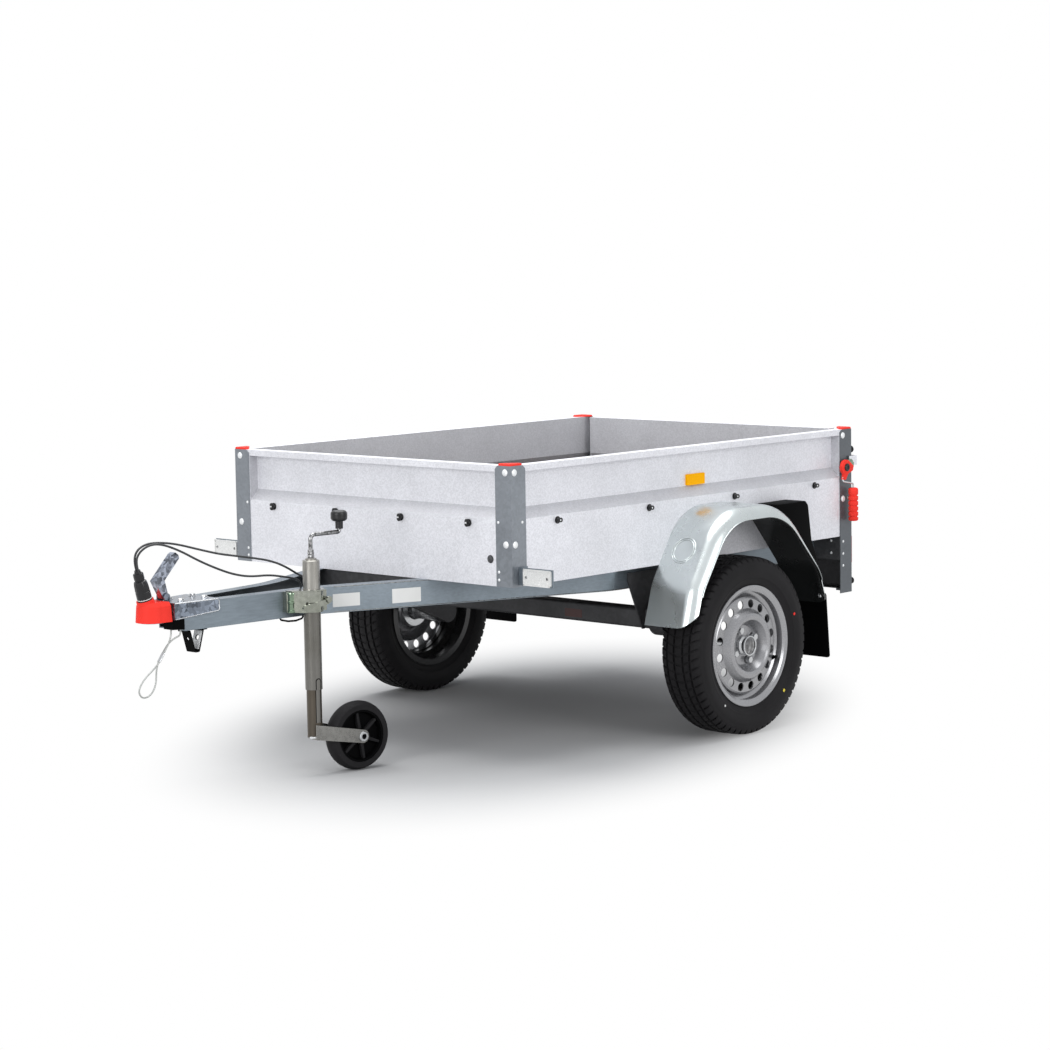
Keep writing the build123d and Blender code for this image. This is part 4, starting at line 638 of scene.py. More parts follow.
def holed_plate(outline: Sequence[Flat], hole: Point, origin: Sequence[float],
                right: Sequence[float], up: Sequence[float], depth: float) -> Mesh:
    """Extrude a flat outline with one round hole.

    Args:
        outline: Points in the plane of right and up, in millimetres.
        hole: Centre and radius of the hole in the same plane.
        origin: Where the plane's zero lies.
        right: First direction of the plane.
        up: Second direction of the plane.
        depth: Length of the extrusion along right cross up.

    Returns:
        The closed mesh.
    """
    first, second = Vector(right).normalized(), Vector(up).normalized()
    push = first.cross(second) * depth * MM
    across, along, radius = hole
    ring = [(across + x, along + y) for x, y in ring_points(radius, 40)]
    work = bmesh.new()
    loops = []
    for points in (outline, ring):
        verts = [work.verts.new((Vector(origin) + first * a + second * b) * MM) for a, b in points]
        loops += [work.edges.new(pair) for pair in zip(verts, verts[1:] + verts[:1])]
    bmesh.ops.triangle_fill(work, edges=loops, use_beauty=True)
    moved = bmesh.ops.extrude_face_region(work, geom=list(work.faces))
    for item in moved["geom"]:
        if isinstance(item, bmesh.types.BMVert):
            item.co += push
    return close_up(work)


def rounded_box(width: float, height: float, corner: float, steps: int = 4) -> list[Flat]:
    """Outline of a rectangle with rounded corners, centred on zero.

    Args:
        width: Width of the rectangle.
        height: Height of the rectangle.
        corner: Radius of its corners.
        steps: Facets in each corner.

    Returns:
        The outline's points.
    """
    points = []
    for quarter, (sx, sy) in enumerate(((1, 1), (-1, 1), (-1, -1), (1, -1))):
        for step in range(steps + 1):
            angle = math.pi / 2 * quarter + math.pi / 2 * step / steps
            points.append((sx * (width / 2 - corner) + corner * math.cos(angle),
                           sy * (height / 2 - corner) + corner * math.sin(angle)))
    return points


def rounded_path(points: Sequence[Flat], radii: Sequence[float], steps: int) -> list[Flat]:
    """Round the corners of an open flat path.

    Args:
        points: The path's corners.
        radii: Radius of each inner corner.
        steps: Facets in each rounding.

    Returns:
        The rounded path.
    """
    path = [points[0]]
    for before, corner, after, radius in zip(points, points[1:], points[2:], radii):
        here = Vector(corner)
        back = (Vector(before) - here).normalized()
        ahead = (Vector(after) - here).normalized()
        half = back.angle(ahead) / 2
        reach = radius / math.tan(half)
        middle = here + (back + ahead).normalized() * (radius / math.sin(half))
        start, end = here + back * reach - middle, here + ahead * reach - middle
        turn = start.angle_signed(end)
        for step in range(steps + 1):
            angle = -turn * step / steps
            spoke = Vector((start.x * math.cos(angle) - start.y * math.sin(angle),
                            start.x * math.sin(angle) + start.y * math.cos(angle)))
            path.append(tuple(middle + spoke))
    return [*path, points[-1]]


def shifted_path(points: Sequence[Flat], inset: float) -> list[Flat]:
    """Shift an open flat path to its right side, with mitred corners.

    Args:
        points: The path's corners.
        inset: How far it moves.

    Returns:
        The moved corners.
    """
    normals = []
    for (xa, za), (xb, zb) in zip(points, points[1:]):
        run = math.hypot(xb - xa, zb - za)
        normals.append(Vector(((zb - za) / run, -(xb - xa) / run)))
    moved = []
    for index, point in enumerate(points):
        one, two = normals[max(index - 1, 0)], normals[min(index, len(normals) - 1)]
        mitre = (one + two) / (1 + one.dot(two))
        moved.append(tuple(Vector(point) + mitre * inset))
    return moved


def bead(points: Sequence[Sequence[float]], radius: float, closed: bool = False,
         sides: int = 8) -> Mesh:
    """Make a round bead along straight runs.

    Args:
        points: The bead's line in millimetres.
        radius: Radius in millimetres.
        closed: Whether the line comes back to its start.
        sides: Facets round the bead.

    Returns:
        The closed mesh.
    """
    line = [Vector(p) for p in points]
    count = len(line)
    work = bmesh.new()
    rings = []
    across = None
    for index, place in enumerate(line):
        before = line[(index - 1) % count] if closed or index else place
        after = line[(index + 1) % count] if closed or index < count - 1 else place
        ahead = (after - before).normalized()
        across = across - ahead * across.dot(ahead) if across else ahead.orthogonal()
        across.normalize()
        third = ahead.cross(across)
        rings.append([work.verts.new((place + across * a + third * b) * MM)
                      for a, b in ring_points(radius, sides)])
    skin(work, [*rings, rings[0]] if closed else rings)
    if not closed:
        work.faces.new(rings[0])
        work.faces.new(rings[-1])
    return close_up(work)


def join_meshes(meshes: Sequence[Mesh]) -> Mesh:
    """Put several meshes into one.

    Args:
        meshes: The meshes.

    Returns:
        The joined mesh.
    """
    work = bmesh.new()
    for mesh in meshes:
        work.from_mesh(mesh)
    return store(work)


def seat(piece: bpy.types.Object, body: str, slot: str, *replaced: str) -> None:
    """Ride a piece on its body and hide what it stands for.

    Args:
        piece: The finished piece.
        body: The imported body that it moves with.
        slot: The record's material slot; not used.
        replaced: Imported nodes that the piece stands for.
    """
    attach(piece, body)
    if replaced:
        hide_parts(*replaced)
    LOG.info("piece %s on %s: %d vertices", piece.name, body,
             len(piece.data.vertices) if piece.type == "MESH" else 0)


def add_piece(name: str, mesh: Mesh, finish: Finish, body: str, slot: str,
              *replaced: str, smooth: float = 40.0) -> None:
    """Finish a mesh and seat it on its body.

    Args:
        name: Name of the piece.
        mesh: The mesh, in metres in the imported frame.
        finish: Its surface finish.
        body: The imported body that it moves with.
        slot: The record's material slot.
        replaced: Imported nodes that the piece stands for.
        smooth: Angle in degrees up to which neighbouring faces are shaded as one.
    """
    seat(finish_mesh(name, mesh, finish, smooth), body, slot, *replaced)


def tube_piece(name: str, points: Sequence[Sequence[float]], radius: float,
               finish: Finish) -> bpy.types.Object:
    """Make a smooth round cord or wire as a NURBS curve.

    Args:
        name: Name of the piece.
        points: Control points in millimetres.
        radius: Radius in millimetres.
        finish: Its surface finish.

    Returns:
        The curve object.
    """
    curve = bpy.data.curves.new(name, "CURVE")
    curve.dimensions = "3D"
    spline = curve.splines.new("NURBS")
    spline.points.add(len(points) - 1)
    for knot, place in zip(spline.points, points):
        knot.co = (*(Vector(place) * MM), 1.0)
    spline.order_u = 3
    spline.use_endpoint_u = True
    spline.resolution_u = 10
    curve.bevel_depth = radius * MM
    curve.bevel_resolution = 5
    curve.use_fill_caps = True
    curve.materials.append(finish.material())
    return link(name, curve)


# ---------------------------------------------------------- geometry nodes
class NodeTree(NodeBook):
    """A Geometry Nodes tree with named inputs."""

    def __init__(self, name: str, inputs: dict[str, str]) -> None:
        """Create the tree and its interface.

        Args:
            name: Name of the tree.
            inputs: Input names and their socket types.
        """
        super().__init__(bpy.data.node_groups.new(name, "GeometryNodeTree"))
        panel = self.tree.interface
        panel.new_socket(name="Geometry", in_out="OUTPUT", socket_type="NodeSocketGeometry")
        panel.new_socket(name="Geometry", in_out="INPUT", socket_type="NodeSocketGeometry")
        self.identifiers: dict[str, str] = {}
        for label, kind in inputs.items():
            socket = panel.new_socket(name=label, in_out="INPUT", socket_type=kind)
            self.identifiers[label] = socket.identifier
        self.given = self.add("NodeGroupInput").outputs

    def copy_round(self, feeds: dict[str, object]) -> None:
        """End the tree: place the copies, realise them and set the material.

        Args:
            feeds: What goes into the inputs of the node that places the copies.
        """
        copies = self.add("GeometryNodeInstanceOnPoints", feeds)
        real = self.add("GeometryNodeRealizeInstances", {0: copies.outputs[0]})
        painted = self.add("GeometryNodeSetMaterial", {
            "Geometry": real.outputs[0], "Material": self.given["Material"]})
        self.add("NodeGroupOutput", {0: painted.outputs[0]})

    def run(self, name: str, base: Mesh, values: dict[str, object]) -> Mesh:
        """Run the tree on a base mesh and return the result as a plain mesh.

        Args:
            name: Name for the mesh.
            base: Mesh that the tree starts from.
            values: Value for each named input.

        Returns:
            The resulting mesh.
        """
        holder = link(f"{name}_base", base)
        modifier = holder.modifiers.new("nodes", "NODES")
        modifier.node_group = self.tree
        for label, value in values.items():
            modifier[self.identifiers[label]] = value
        bpy.context.view_layer.update()
        graph = bpy.context.evaluated_depsgraph_get()
        mesh = bpy.data.meshes.new_from_object(holder.evaluated_get(graph))
        mesh.name = name
        holder.modifiers.remove(modifier)
        bpy.data.objects.remove(holder)
        return mesh


class Fasteners:
    """Places copies of one head on a set of points, each turned to its own facing."""

    def __init__(self) -> None:
        """Build the tree that places the heads."""
        tree = NodeTree("fastener_rows", {
            "Head": "NodeSocketObject", "Material": "NodeSocketMaterial"})
        facing = tree.add("GeometryNodeInputNamedAttribute", {"Name": "facing"},
                          data_type="FLOAT_VECTOR")
        turn = tree.add("FunctionNodeAlignRotationToVector", {"Vector": facing.outputs[0]},
                        axis="Z")
        head = tree.add("GeometryNodeObjectInfo", {"Object": tree.given["Head"]})
        tree.copy_round({"Points": tree.given["Geometry"], "Instance": head.outputs["Geometry"],
                         "Rotation": turn.outputs[0]})
        self.nodes = tree

    def place(self, name: str, head: Mesh, spots: Sequence[tuple[Point, Point]],
              finish: Finish, body: str, slot: str, *replaced: str) -> None:
        """Copy a head to every spot and seat the copies as one piece.

        Args:
            name: Name of the piece.
            head: Mesh of one head that stands up along +Z from zero.
            spots: Pairs of a place in millimetres and the way it faces.
            finish: Its surface finish.
            body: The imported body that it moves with.
            slot: The record's material slot.
            replaced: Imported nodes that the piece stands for.
        """
        base = bpy.data.meshes.new(f"{name}_spots")
        base.from_pydata([Vector(place) * MM for place, _ in spots], [], [])
        facing = base.attributes.new("facing", "FLOAT_VECTOR", "POINT")
        for index, (_, direction) in enumerate(spots):
            facing.data[index].vector = direction
        model = link(f"{name}_head", head)
        mesh = self.nodes.run(name, base, {"Head": model, "Material": finish.material()})
        bpy.data.objects.remove(model)
        add_piece(name, mesh, finish, body, slot, *replaced)


def dome_head(radius: float, height: float, washer: float = 0.0) -> Mesh:
    """Mesh of a round domed head, with a flat washer under it if asked.

    Args:
        radius: Radius of the head.
        height: Height of the head.
        washer: How far the washer stands out, none if zero.

    Returns:
        The mesh, standing on zero.
    """
    profile = [(-0.3, radius + washer)]
    if washer:
        profile += [(0.8, radius + washer), (1.0, radius)]
    for step in range(5):
        angle = math.pi / 2 * step / 4
        profile.append((1.0 * bool(washer) + height * math.sin(angle),
                        radius * math.cos(angle) + 1e-9))
    return lathe([*profile, (profile[-1][0], 0.0)], (0, 0, 0), (0, 0, 1), 20)


def hex_head(radius: float, height: float, washer: float) -> Mesh:
    """Mesh of a hexagon head on a washer.

    Args:
        radius: Distance from the middle to a corner.
        height: Height of the head.
        washer: Radius of the washer.

    Returns:
        The mesh, standing on zero.
    """
    plate = lathe([(-0.3, 0.0), (-0.3, washer), (1.2, washer), (1.2, 0.0)], (0, 0, 0),
                  (0, 0, 1), 24)
    nut = prism(ring_points(radius, 6), (0, 0, 1.2), (1, 0, 0), (0, 1, 0), height, 0.6)
    return join_meshes([plate, nut])


# ------------------------------------------------------------ sub-assemblies
@dataclass
class Studio:
    """Floor, light and camera."""

    place: Point = (6.13729, 5.87321, 1.54674)
    yaw: float = -137.571718
    pitch: float = -6.193213
    roll: float = -0.930036
    lens: float = 97.5386
    # The floor is grey in a turned oval round the trailer, a painted shadow, and white beyond it.
    floor_shadow_grey: float = 0.45
    shadow_centre: Point = (-0.269, -0.015, 0.0)
    shadow_turn: float = -25.0
    shadow_spread: Point = (1 / 1.7, 1.0, 0.0)
    floor_size: float = 30.0
    white_from: float = 0.58        # the painted shadow fades to white between these two
    white_to: float = 1.05
    sky: tuple[float, ...] = (0.92, 0.95, 1.0, 1)
    sky_power: float = 0.78
    white_in_metal: float = 0.55    # how white the surroundings are in reflections
    lamps: tuple[tuple[str, Point, Point, float, float], ...] = (
        ("overhead", (-0.2, -0.6, 4.6), (0, 0, 0.3), 4.5, 235),
        ("side", (0.4, 6.0, 2.2), (-0.4, 0, 0.6), 2.6, 100),
        ("front", (6.0, 1.2, 2.0), (0.2, 0, 0.6), 2.6, 130))

    def build(self) -> None:
        """Make the floor, world, lamps and camera."""
        self._world()
        self._floor()
        self._lamps()
        self._camera()

    def _world(self) -> None:
        """Even pale surroundings, white to the camera and in reflections."""
        world = bpy.data.worlds.new("studio")
        bpy.context.scene.world = world
        book = NodeBook.blank(world)
        rays = book.add("ShaderNodeLightPath").outputs
        shiny = book.number("MULTIPLY", rays["Is Glossy Ray"], self.white_in_metal)
        seen = book.number("MAXIMUM", rays["Is Camera Ray"], shiny)
        clear = book.number("MAXIMUM", seen, rays["Is Transmission Ray"])
        skies = [book.add("ShaderNodeBackground", {"Color": colour, "Strength": power}).outputs[0]
                 for colour, power in ((self.sky, self.sky_power), ((1, 1, 1, 1), 1.0))]
        book.add("ShaderNodeOutputWorld", {"Surface": book.mix(clear, *skies)})

    def _floor(self) -> None:
        """Floor with a painted shadow: grey in a turned oval round the trailer, fading into the
        white surroundings.
        """
        work = bmesh.new()
        bmesh.ops.create_grid(work, x_segments=1, y_segments=1, size=self.floor_size)
        mesh = store(work)
        paint = bpy.data.materials.new("floor")
        book = NodeBook.blank(paint)
        turned = book.add("ShaderNodeVectorRotate", {
            "Vector": book.add("ShaderNodeTexCoord").outputs["Object"],
            "Center": self.shadow_centre, "Angle": math.radians(self.shadow_turn)},
            rotation_type="Z_AXIS").outputs[0]
        oval = book.vector("MULTIPLY", book.vector("SUBTRACT", turned, self.shadow_centre),
                           self.shadow_spread)
        far = book.add("ShaderNodeMapRange", {
            "Value": book.vector("LENGTH", oval), "From Min": self.white_from,
            "From Max": self.white_to}, interpolation_type="SMOOTHSTEP").outputs[0]
        rays = book.add("ShaderNodeLightPath").outputs
        seen = book.number("MAXIMUM", rays["Is Camera Ray"], rays["Is Glossy Ray"])
        diffuse = book.add("ShaderNodeBsdfDiffuse", {"Color": (*(self.floor_shadow_grey,) * 3, 1)})
        white = book.add("ShaderNodeEmission", {"Color": (1, 1, 1, 1), "Strength": 1.0})
        mixed = book.mix(book.number("MULTIPLY", far, seen), diffuse.outputs[0], white.outputs[0])
        book.add("ShaderNodeOutputMaterial", {"Surface": mixed})
        mesh.materials.append(paint)
        floor = link("floor", mesh)
        floor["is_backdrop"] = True

    def _lamp(self, name: str, place: Point, aim: Point, size: float, power: float) -> None:
        """Add one soft square lamp.

        Args:
            name: Name of the lamp.
            place: Where it hangs, in metres.
            aim: What it points at.
            size: Side of the square in metres.
            power: Power in watts.
        """
        data = bpy.data.lights.new(name, "AREA")
        data.size = size
        data.energy = power
        lamp = link(name, data)
        lamp.location = place
        lamp.rotation_euler = (Vector(aim) - Vector(place)).to_track_quat("-Z", "Y").to_euler()

    def _lamps(self) -> None:
        """One broad lamp overhead and weaker ones at the left and the front."""
        for lamp in self.lamps:
            self._lamp(*lamp)

    def _camera(self) -> None:
        """Camera at the fitted place."""
        yaw, pitch, roll = (math.radians(a) for a in (self.yaw, self.pitch, self.roll))
        ahead = Vector((math.cos(pitch) * math.cos(yaw), math.cos(pitch) * math.sin(yaw),
                        math.sin(pitch)))
        level = ahead.cross(Vector((0, 0, 1))).normalized()
        top = level.cross(ahead)
        right = level * math.cos(roll) + top * math.sin(roll)
        up = top * math.cos(roll) - level * math.sin(roll)
        data = bpy.data.cameras.new("camera")
        data.lens = self.lens
        data.sensor_width = 36.0
        data.clip_end = 200.0
        camera = link("camera", data)
        turn = Matrix((right, up, -ahead)).transposed().to_4x4()
        camera.matrix_world = Matrix.Translation(self.place) @ turn
        bpy.context.scene.camera = camera


@dataclass
class Cables:
    """Plug cables over the drawbar and the safety cable under it."""

    plug_top: Point = (1254.859, 0.0, 620.436)
    plug_axis: Point = (0.275637, 0.0, 0.961262)
    cable_radius: float = 3.0
    safety_radius: float = 2.3
    exit_y: float = 3.6             # how far each plug cable leaves beside the middle
    straight: float = 26.0          # how far it first runs along the plug
    upper: tuple[Point, ...] = (
        (1738, -4, 672), (1709, -3, 687), (1672, 1, 689), (1614, 10, 681), (1538, 24, 658),
        (1478, 35, 641), (1430, 44, 632), (1382, 52, 623), (1317, 63, 609), (1270, 72, 589),
        (1228, 80, 562), (1194, 83, 547), (1194, 83, 522))
    lower: tuple[Point, ...] = (
        (1738, 9, 670), (1711, 17, 687), (1675, 26, 687), (1618, 34, 664), (1550, 36, 628),
        (1479, 40, 597), (1432, 46, 580), (1384, 54, 570), (1320, 63, 569), (1271, 72, 559),
        (1240, 76, 552), (1216, 77, 541), (1216, 77, 522))
    safety: tuple[Point, ...] = (
        (1647, 22, 452), (1647, 22, 437), (1654, 22, 419), (1666, 22, 401), (1680, 22, 382),
        (1694, 22, 364), (1713, 23, 350), (1736, 24, 336), (1757, 24, 318), (1769, 24, 297),
        (1758, 23, 278), (1733, 22, 277), (1711, 20, 293), (1701, 18, 316), (1699, 17, 341),
        (1693, 17, 364), (1680, 17, 382), (1666, 17, 401), (1652, 20, 417), (1641, 32, 429),
        (1634, 46, 436), (1634, 46, 452))

    def _run(self, points: Sequence[Point]) -> list[Point]:
        """Move wheel-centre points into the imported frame."""
        return [(x + AXLE_X, y, z) for x, y, z in points]

    def _cable(self, name: str, side: float, points: Sequence[Point]) -> None:
        """Make and seat one plug cable.

        Args:
            name: Name of the cable in the frame.
            side: Sideways place of the exit on the plug's top.
            points: The rest of its route.
        """
        start = Vector(self.plug_top) + Vector((0, side, 0))
        lead = start + Vector(self.plug_axis) * self.straight
        route = [tuple(start), tuple(lead), *self._run(points)]
        piece = tube_piece(f"plug_{name}", route, self.cable_radius, CABLE_BLACK)
        seat(piece, "chassis", "black_plastic", name)

    def build(self) -> None:
        """Make the plug and the three cords."""
        Plug().build()
        self._cable("cable_upper", -self.exit_y, self.upper)
        self._cable("cable_lower", self.exit_y, self.lower)
        route = self._run(self.safety)
        piece = tube_piece("safety_rope", route, self.safety_radius, CABLE_GREY)
        seat(piece, "chassis", "steel_cable", "safety_cable")


@dataclass
class Plug:
    """Trailer plug parked in the coupling's cover."""

    foot: Point = (1229.5, 0.0, 532.0)
    axis: Point = (0.275637, 0.0, 0.961262)
    radius: float = 20.5

    def build(self) -> None:
        """Make the plug's body with its fluted grip, and its pale ring."""
        r = self.radius
        body = lathe([
            (0.3, 0), (0.3, r), (9, r), (9.6, 19.6), (13, 19.6), (13.6, 20.3), (30, 20.2),
            (31, 19.2), (33, 19.2), (34, 20.0), (52, 19.0), (60, 17.2), (61.5, 15), (62.5, 13.2),
            (65, 13.2), (66, 14.4), (82, 14.2), (83.5, 12.5), (84, 9.5), (92, 8.2), (92, 0)],
            self.foot, self.axis, 64, flutes=18, bite=0.045, fluted_from=34, fluted_to=82)
        add_piece("plug_body", body, SHINY_BLACK, "chassis", "black_plastic", "trailer_plug",
                  smooth=34)
        ring = lathe([(9.4, 19.4), (9.4, 20.9), (11.2, 20.9), (11.2, 19.4), (9.4, 19.4)],
                     self.foot, self.axis, 64)
        add_piece("plug_ring", ring, WHITE_LABEL, "chassis", "clear_reflector", smooth=34)


@dataclass
class RoadTyre:
    """Road tyre with a grooved tread, made one pitch at a time and repeated round the wheel."""

    centre_y: float
    radius: float = 267.0
    bead_radius: float = 165.3
    bead_half: float = 56.7
    pitches: int = 62
    groove: float = 6.5                         # depth of the grooves round the tyre
    groove_at: tuple[float, ...] = (42.0, 16.0)
    tread_foot: float = 249.5                   # radius where the cross cuts start
    slant: float = 0.9                          # pitches that a cross cut leans back
    columns: tuple[tuple[float, int], ...] = (  # share of a pitch, and whether it is cut there
        (0.0, 0), (0.42, 0), (0.72, 0), (0.76, 1), (0.96, 1), (1.0, 0))

    def _rows(self) -> list[Point]:
        """Lay out the tyre's closed section.

        Returns:
            Its corners as (offset, radius, depth of the cross cuts).
        """
        top, foot = self.radius, self.radius - self.groove
        half = [(t, r, 0.0) for t, r in (
            (self.bead_half, self.bead_radius + 1.0), (self.bead_half, 182.0), (60.0, 184.0),
            (61.5, 190.0), (66.0, 199.0), (68.3, 203.0), (69.6, 204.0), (71.2, 213.0),
            (72.5, 224.0), (72.3, 234.0), (71.6, 236.0), (70.6, 243.0), (69.2, 249.0))]
        half += [(68.6, 250.0, 0.0), (67.6, 254.0, 3.0), (65.6, 258.5, 5.0), (62.0, 262.3, 6.0),
                 (56.0, 264.6, 6.0), (48.0, 265.6, 6.0)]
        for middle in self.groove_at:
            half += [(middle + 4.4, top - 1.0, 4.0), (middle + 3.4, foot - 1.0, 0.0),
                     (middle - 3.4, foot - 0.7, 0.0), (middle - 4.4, top - 0.7, 3.0)]
        half.append((5.0, top, 3.0))
        return [(-t, r, d) for t, r, d in half] + half[::-1]

    def build(self, nodes: NodeTree) -> Mesh:
        """Make the tyre.

        Args:
            nodes: Tree that repeats a pitch round the wheel.

        Returns:
            The closed mesh.
        """
        rows = self._rows()
        pitch = math.tau / self.pitches
        work = bmesh.new()
        grid: list[list[bmesh.types.BMVert]] = []
        outward = 1 if self.centre_y > 0 else -1
        for share, cut in self.columns:
            line = []
            for offset, radius, depth in rows:
                out = min(abs(offset), 66.0) / 66.0
                lean = self.slant * out ** 1.4 if radius > self.tread_foot else 0.0
                angle = (share + lean) * pitch
                reach = (radius - depth * cut) * MM
                line.append(work.verts.new((reach * math.cos(angle), outward * offset * MM,
                                            reach * math.sin(angle))))
            grid.append(line)
        skin(work, grid)
        bmesh.ops.remove_doubles(work, verts=work.verts, dist=1e-7)
        mesh = nodes.run("tyre", store(work), {
            "Count": self.pitches, "Material": TYRE_RUBBER.material()})
        mesh.transform(Matrix.Translation((AXLE_X * MM, self.centre_y * MM, AXLE_Z * MM)))
        shape = bmesh.new()
        shape.from_mesh(mesh)
        bmesh.ops.remove_doubles(shape, verts=shape.verts, dist=3e-5)
        bmesh.ops.recalc_face_normals(shape, faces=shape.faces)
        return store(shape, mesh)


def ring_tree() -> NodeTree:
    """Build a tree that repeats its input round the Y axis.

    Returns:
        The tree.
    """
    nodes = NodeTree("ring_of_pitches", {
        "Count": "NodeSocketInt", "Material": "NodeSocketMaterial"})
    count = nodes.given["Count"]
    index = nodes.add("GeometryNodeInputIndex").outputs[0]
    turn = nodes.number("MULTIPLY", nodes.number("DIVIDE", index, count), -math.tau)
    about = nodes.add("ShaderNodeCombineXYZ", {"Y": turn})
    line = nodes.add("GeometryNodeMeshLine", {"Count": count, "Offset": (0, 0, 0)})
    nodes.copy_round({"Points": line.outputs[0], "Instance": nodes.given["Geometry"],
                      "Rotation": about.outputs[0]})
    return nodes


@dataclass
class RoadWheels:
    """Tyres and the small parts on the rims."""

    track: float = 1318.0
    valve_face: float = 30.0        # these three lie outwards from the tyre's middle
    hub_face: float = 58.0
    shade_ring_face: float = 29.9
    shade_ring_reach: float = 50.0
    shade_ring_turns: tuple[float, ...] = (-66, 24, 114, 204)
    valve_turn: float = math.radians(201.0)
    valve_reach: float = 154.0

    def build(self) -> None:
        """Make both tyres, the valves and the small parts of the hubs."""
        nodes = ring_tree()
        for side, label in SIDES.items():
            body = f"wheel_{label}_body"
            mesh = RoadTyre(side * self.track / 2).build(nodes)
            add_piece(f"road_tyre_{label}", mesh, TYRE_RUBBER, body, "tyre_rubber", f"tyre_{label}",
                      smooth=32)
            self._valve(side, label, body)
            self._hub(side, label, body)

    def _valve(self, side: int, label: str, body: str) -> None:
        """Rubber valve in the well of the rim.

        Args:
            side: 1 for the left, -1 for the right.
            label: Name of the side.
            body: The wheel's body.
        """
        across, up = math.cos(self.valve_turn), math.sin(self.valve_turn)
        centre = (AXLE_X + self.valve_reach * across, side * (self.track / 2 + self.valve_face),
                  AXLE_Z + self.valve_reach * up)
        profile = [(-4, 0), (-4, 8), (2, 8), (6, 5.6), (24, 5), (25, 4.2), (36, 4.2), (37, 3.2),
                   (37, 0)]
        valve = lathe(profile, centre, (-0.55 * across, side * 0.84, -0.55 * up), 20)
        add_piece(f"valve_{label}", valve, SOFT_BLACK, body, "black_plastic")

    def _hub(self, side: int, label: str, body: str) -> None:
        """Pressed dust cap, lip of the hub, and dark rings of painted shade round the wheel bolts.

        Args:
            side: 1 for the left, -1 for the right.
            label: Name of the side.
            body: The wheel's body.
        """
        outward = (0, side, 0)
        centre = (AXLE_X, side * (self.track / 2 + self.hub_face), AXLE_Z)
        cap = lathe([(-2, 0), (-2, 26), (0.2, 26), (1.0, 24.6), (1.4, 21), (3.2, 19),
                     (4.0, 12), (4.3, 0)], centre, outward, 40)
        add_piece(f"dust_cap_{label}", cap, HUB_STEEL, body, "zinc_steel")
        lip = lathe([(-0.5, 25.8), (-0.5, 30.5), (1.6, 30.0), (2.4, 27.0), (1.2, 25.8),
                     (-0.5, 25.8)], centre, outward, 48)
        add_piece(f"hub_lip_{label}", lip, BRIGHT_ZINC, body, "zinc_steel")
        # Dark rings round the wheel bolts: painted shade.
        shade_rings = []
        for turn in (math.radians(degrees) for degrees in self.shade_ring_turns):
            foot = (AXLE_X + self.shade_ring_reach * math.cos(turn),
                    side * (self.track / 2 + self.shade_ring_face),
                    AXLE_Z - self.shade_ring_reach * math.sin(turn))
            shade_rings.append(lathe([(0, 8.0), (0, 13.0), (0.45, 12.8), (0.45, 8.0), (0, 8.0)],
                               foot, outward, 28))
        add_piece(f"bolt_seats_{label}", join_meshes(shade_rings), DARK_STEEL, body, "dark_steel")


